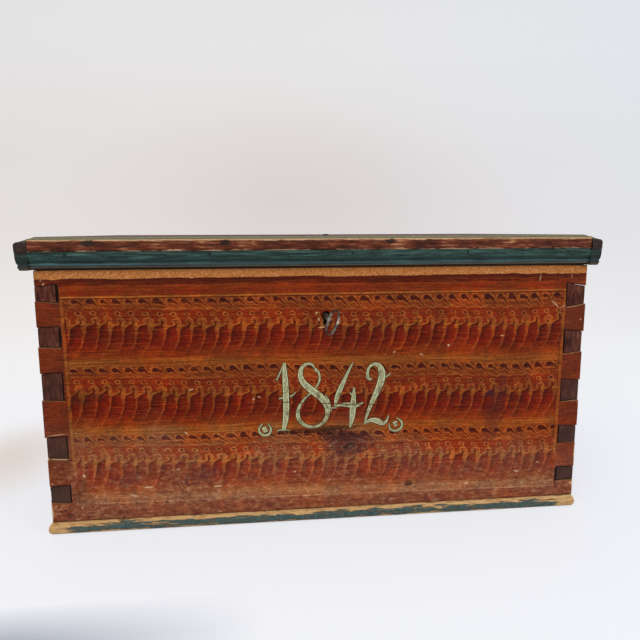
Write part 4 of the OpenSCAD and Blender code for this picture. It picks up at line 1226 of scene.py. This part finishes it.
class PAINTEDBOX_OT_studio(bpy.types.Operator):
    """Seamless paper under and behind the box, soft lamps and the camera at the front"""

    bl_idname = "paintedbox.studio"
    bl_label = "Studio"

    def execute(self, context):
        settings = context.scene.box_studio
        bpy.ops.object.select_all(action="DESELECT")
        bpy.ops.mesh.primitive_plane_add(size=24.0, location=(0.0, -10.2, 0.0))
        floor = context.object
        floor.name = floor.data.name = "studio_paper"
        bpy.ops.object.transform_apply(location=True, rotation=True, scale=True)
        bpy.ops.object.mode_set(mode="EDIT")
        bpy.ops.mesh.select_mode(type="EDGE")
        bpy.ops.mesh.select_all(action="DESELECT")
        bpy.ops.object.mode_set(mode="OBJECT")
        for edge in floor.data.edges:
            edge.select = all(floor.data.vertices[i].co.y > 1.0 for i in edge.vertices)
        bpy.ops.object.mode_set(mode="EDIT")
        bpy.ops.mesh.extrude_region_move(TRANSFORM_OT_translate={"value": (0.0, 0.0, 3.0)})
        bpy.ops.mesh.select_all(action="DESELECT")
        bpy.ops.object.mode_set(mode="OBJECT")
        for edge in floor.data.edges:
            ends = [floor.data.vertices[i].co for i in edge.vertices]
            edge.select = all(end.y > 1.0 and end.z < 0.1 for end in ends)
        bpy.ops.object.mode_set(mode="EDIT")
        bpy.ops.mesh.bevel(offset=1.1, segments=24)
        bpy.ops.object.mode_set(mode="OBJECT")
        bpy.ops.object.shade_smooth()
        floor.data.materials.append(paper_material(1.06))

        world = bpy.data.worlds.new("room")
        context.scene.world = world
        world.use_nodes = True
        background = world.node_tree.nodes["Background"]
        background.inputs["Color"].default_value = linear("#f4f5f8")
        seen = add(world.node_tree, "LightPath").outputs["Is Camera Ray"]
        glow = add(world.node_tree, "map", seen, 0.0, 1.0, settings.world, 0.95)
        world.node_tree.links.new(glow.outputs[0], background.inputs["Strength"])

        for name, place, size, power, colour in (
                ("main_lamp", (-0.7, -1.5, 1.5), 1.4, settings.key_power * 2.2, "#fffaf2"),
                ("fill_lamp", (1.1, -1.3, 0.7), 1.2, settings.key_power * 0.8, "#f4f8ff"),
                ("top_lamp", (0.0, 0.1, 1.7), 1.6, settings.key_power * 1.1, "#ffffff")):
            bpy.ops.object.light_add(type="AREA", location=place)
            lamp = context.object
            lamp.name = name
            lamp.data.shape = "DISK"
            lamp.data.size = size
            lamp.data.energy = power
            lamp.data.color = linear(colour)[:3]
            lamp.visible_camera = False
            aim(lamp, (0.0, -0.05, 0.12))

        yaw, pitch, roll = (math.radians(a) for a in (6.07, -8.73, -0.22))
        ahead = Vector((math.sin(yaw) * math.cos(pitch), math.cos(yaw) * math.cos(pitch), math.sin(pitch)))
        level = Vector((math.cos(yaw), -math.sin(yaw), 0.0))
        upright = level.cross(ahead)
        right = level * math.cos(roll) + upright * math.sin(roll)
        up = upright * math.cos(roll) - level * math.sin(roll)
        bpy.ops.object.camera_add()
        camera = context.object
        turn = Matrix((right, up, -ahead)).transposed().to_4x4()
        camera.matrix_world = Matrix.Translation((-0.0580, -0.6575, 0.2736)) @ turn
        camera.data.lens = settings.lens
        camera.data.sensor_width = 36.0
        camera.data.clip_start = 0.01
        context.scene.camera = camera
        context.scene.view_settings.view_transform = "Standard"
        return {"FINISHED"}


OPERATORS = (PAINTEDBOX_OT_case, PAINTEDBOX_OT_bottom, PAINTEDBOX_OT_lid, PAINTEDBOX_OT_numerals,
    PAINTEDBOX_OT_iron, PAINTEDBOX_OT_studio)


class PAINTEDBOX_PT_panel(bpy.types.Panel):
    """Panel in the 3D view's sidebar."""

    bl_idname = "PAINTEDBOX_PT_panel"
    bl_label = "Painted box"
    bl_space_type = "VIEW_3D"
    bl_region_type = "UI"
    bl_category = "Painted box"

    def draw(self, context):
        for group in (context.scene.box_sizes, context.scene.box_colours, context.scene.box_studio):
            for name in group.__annotations__:
                self.layout.prop(group, name)
        for operator in OPERATORS:
            self.layout.operator(operator.bl_idname)


GROUPS = {"box_sizes": BoxSizes, "box_colours": BoxColours, "box_studio": StudioSettings}


def register():
    for cls in (*GROUPS.values(), *OPERATORS, PAINTEDBOX_PT_panel):
        bpy.utils.register_class(cls)
    for name, group in GROUPS.items():
        setattr(bpy.types.Scene, name, bpy.props.PointerProperty(type=group))


def unregister():
    for name in GROUPS:
        delattr(bpy.types.Scene, name)
    for cls in (PAINTEDBOX_PT_panel, *reversed(OPERATORS), *GROUPS.values()):
        bpy.utils.unregister_class(cls)


def main():
    register()
    for operator in OPERATORS:
        getattr(bpy.ops.paintedbox, operator.bl_idname.split(".")[1])()


if __name__ == "__main__":
    main()
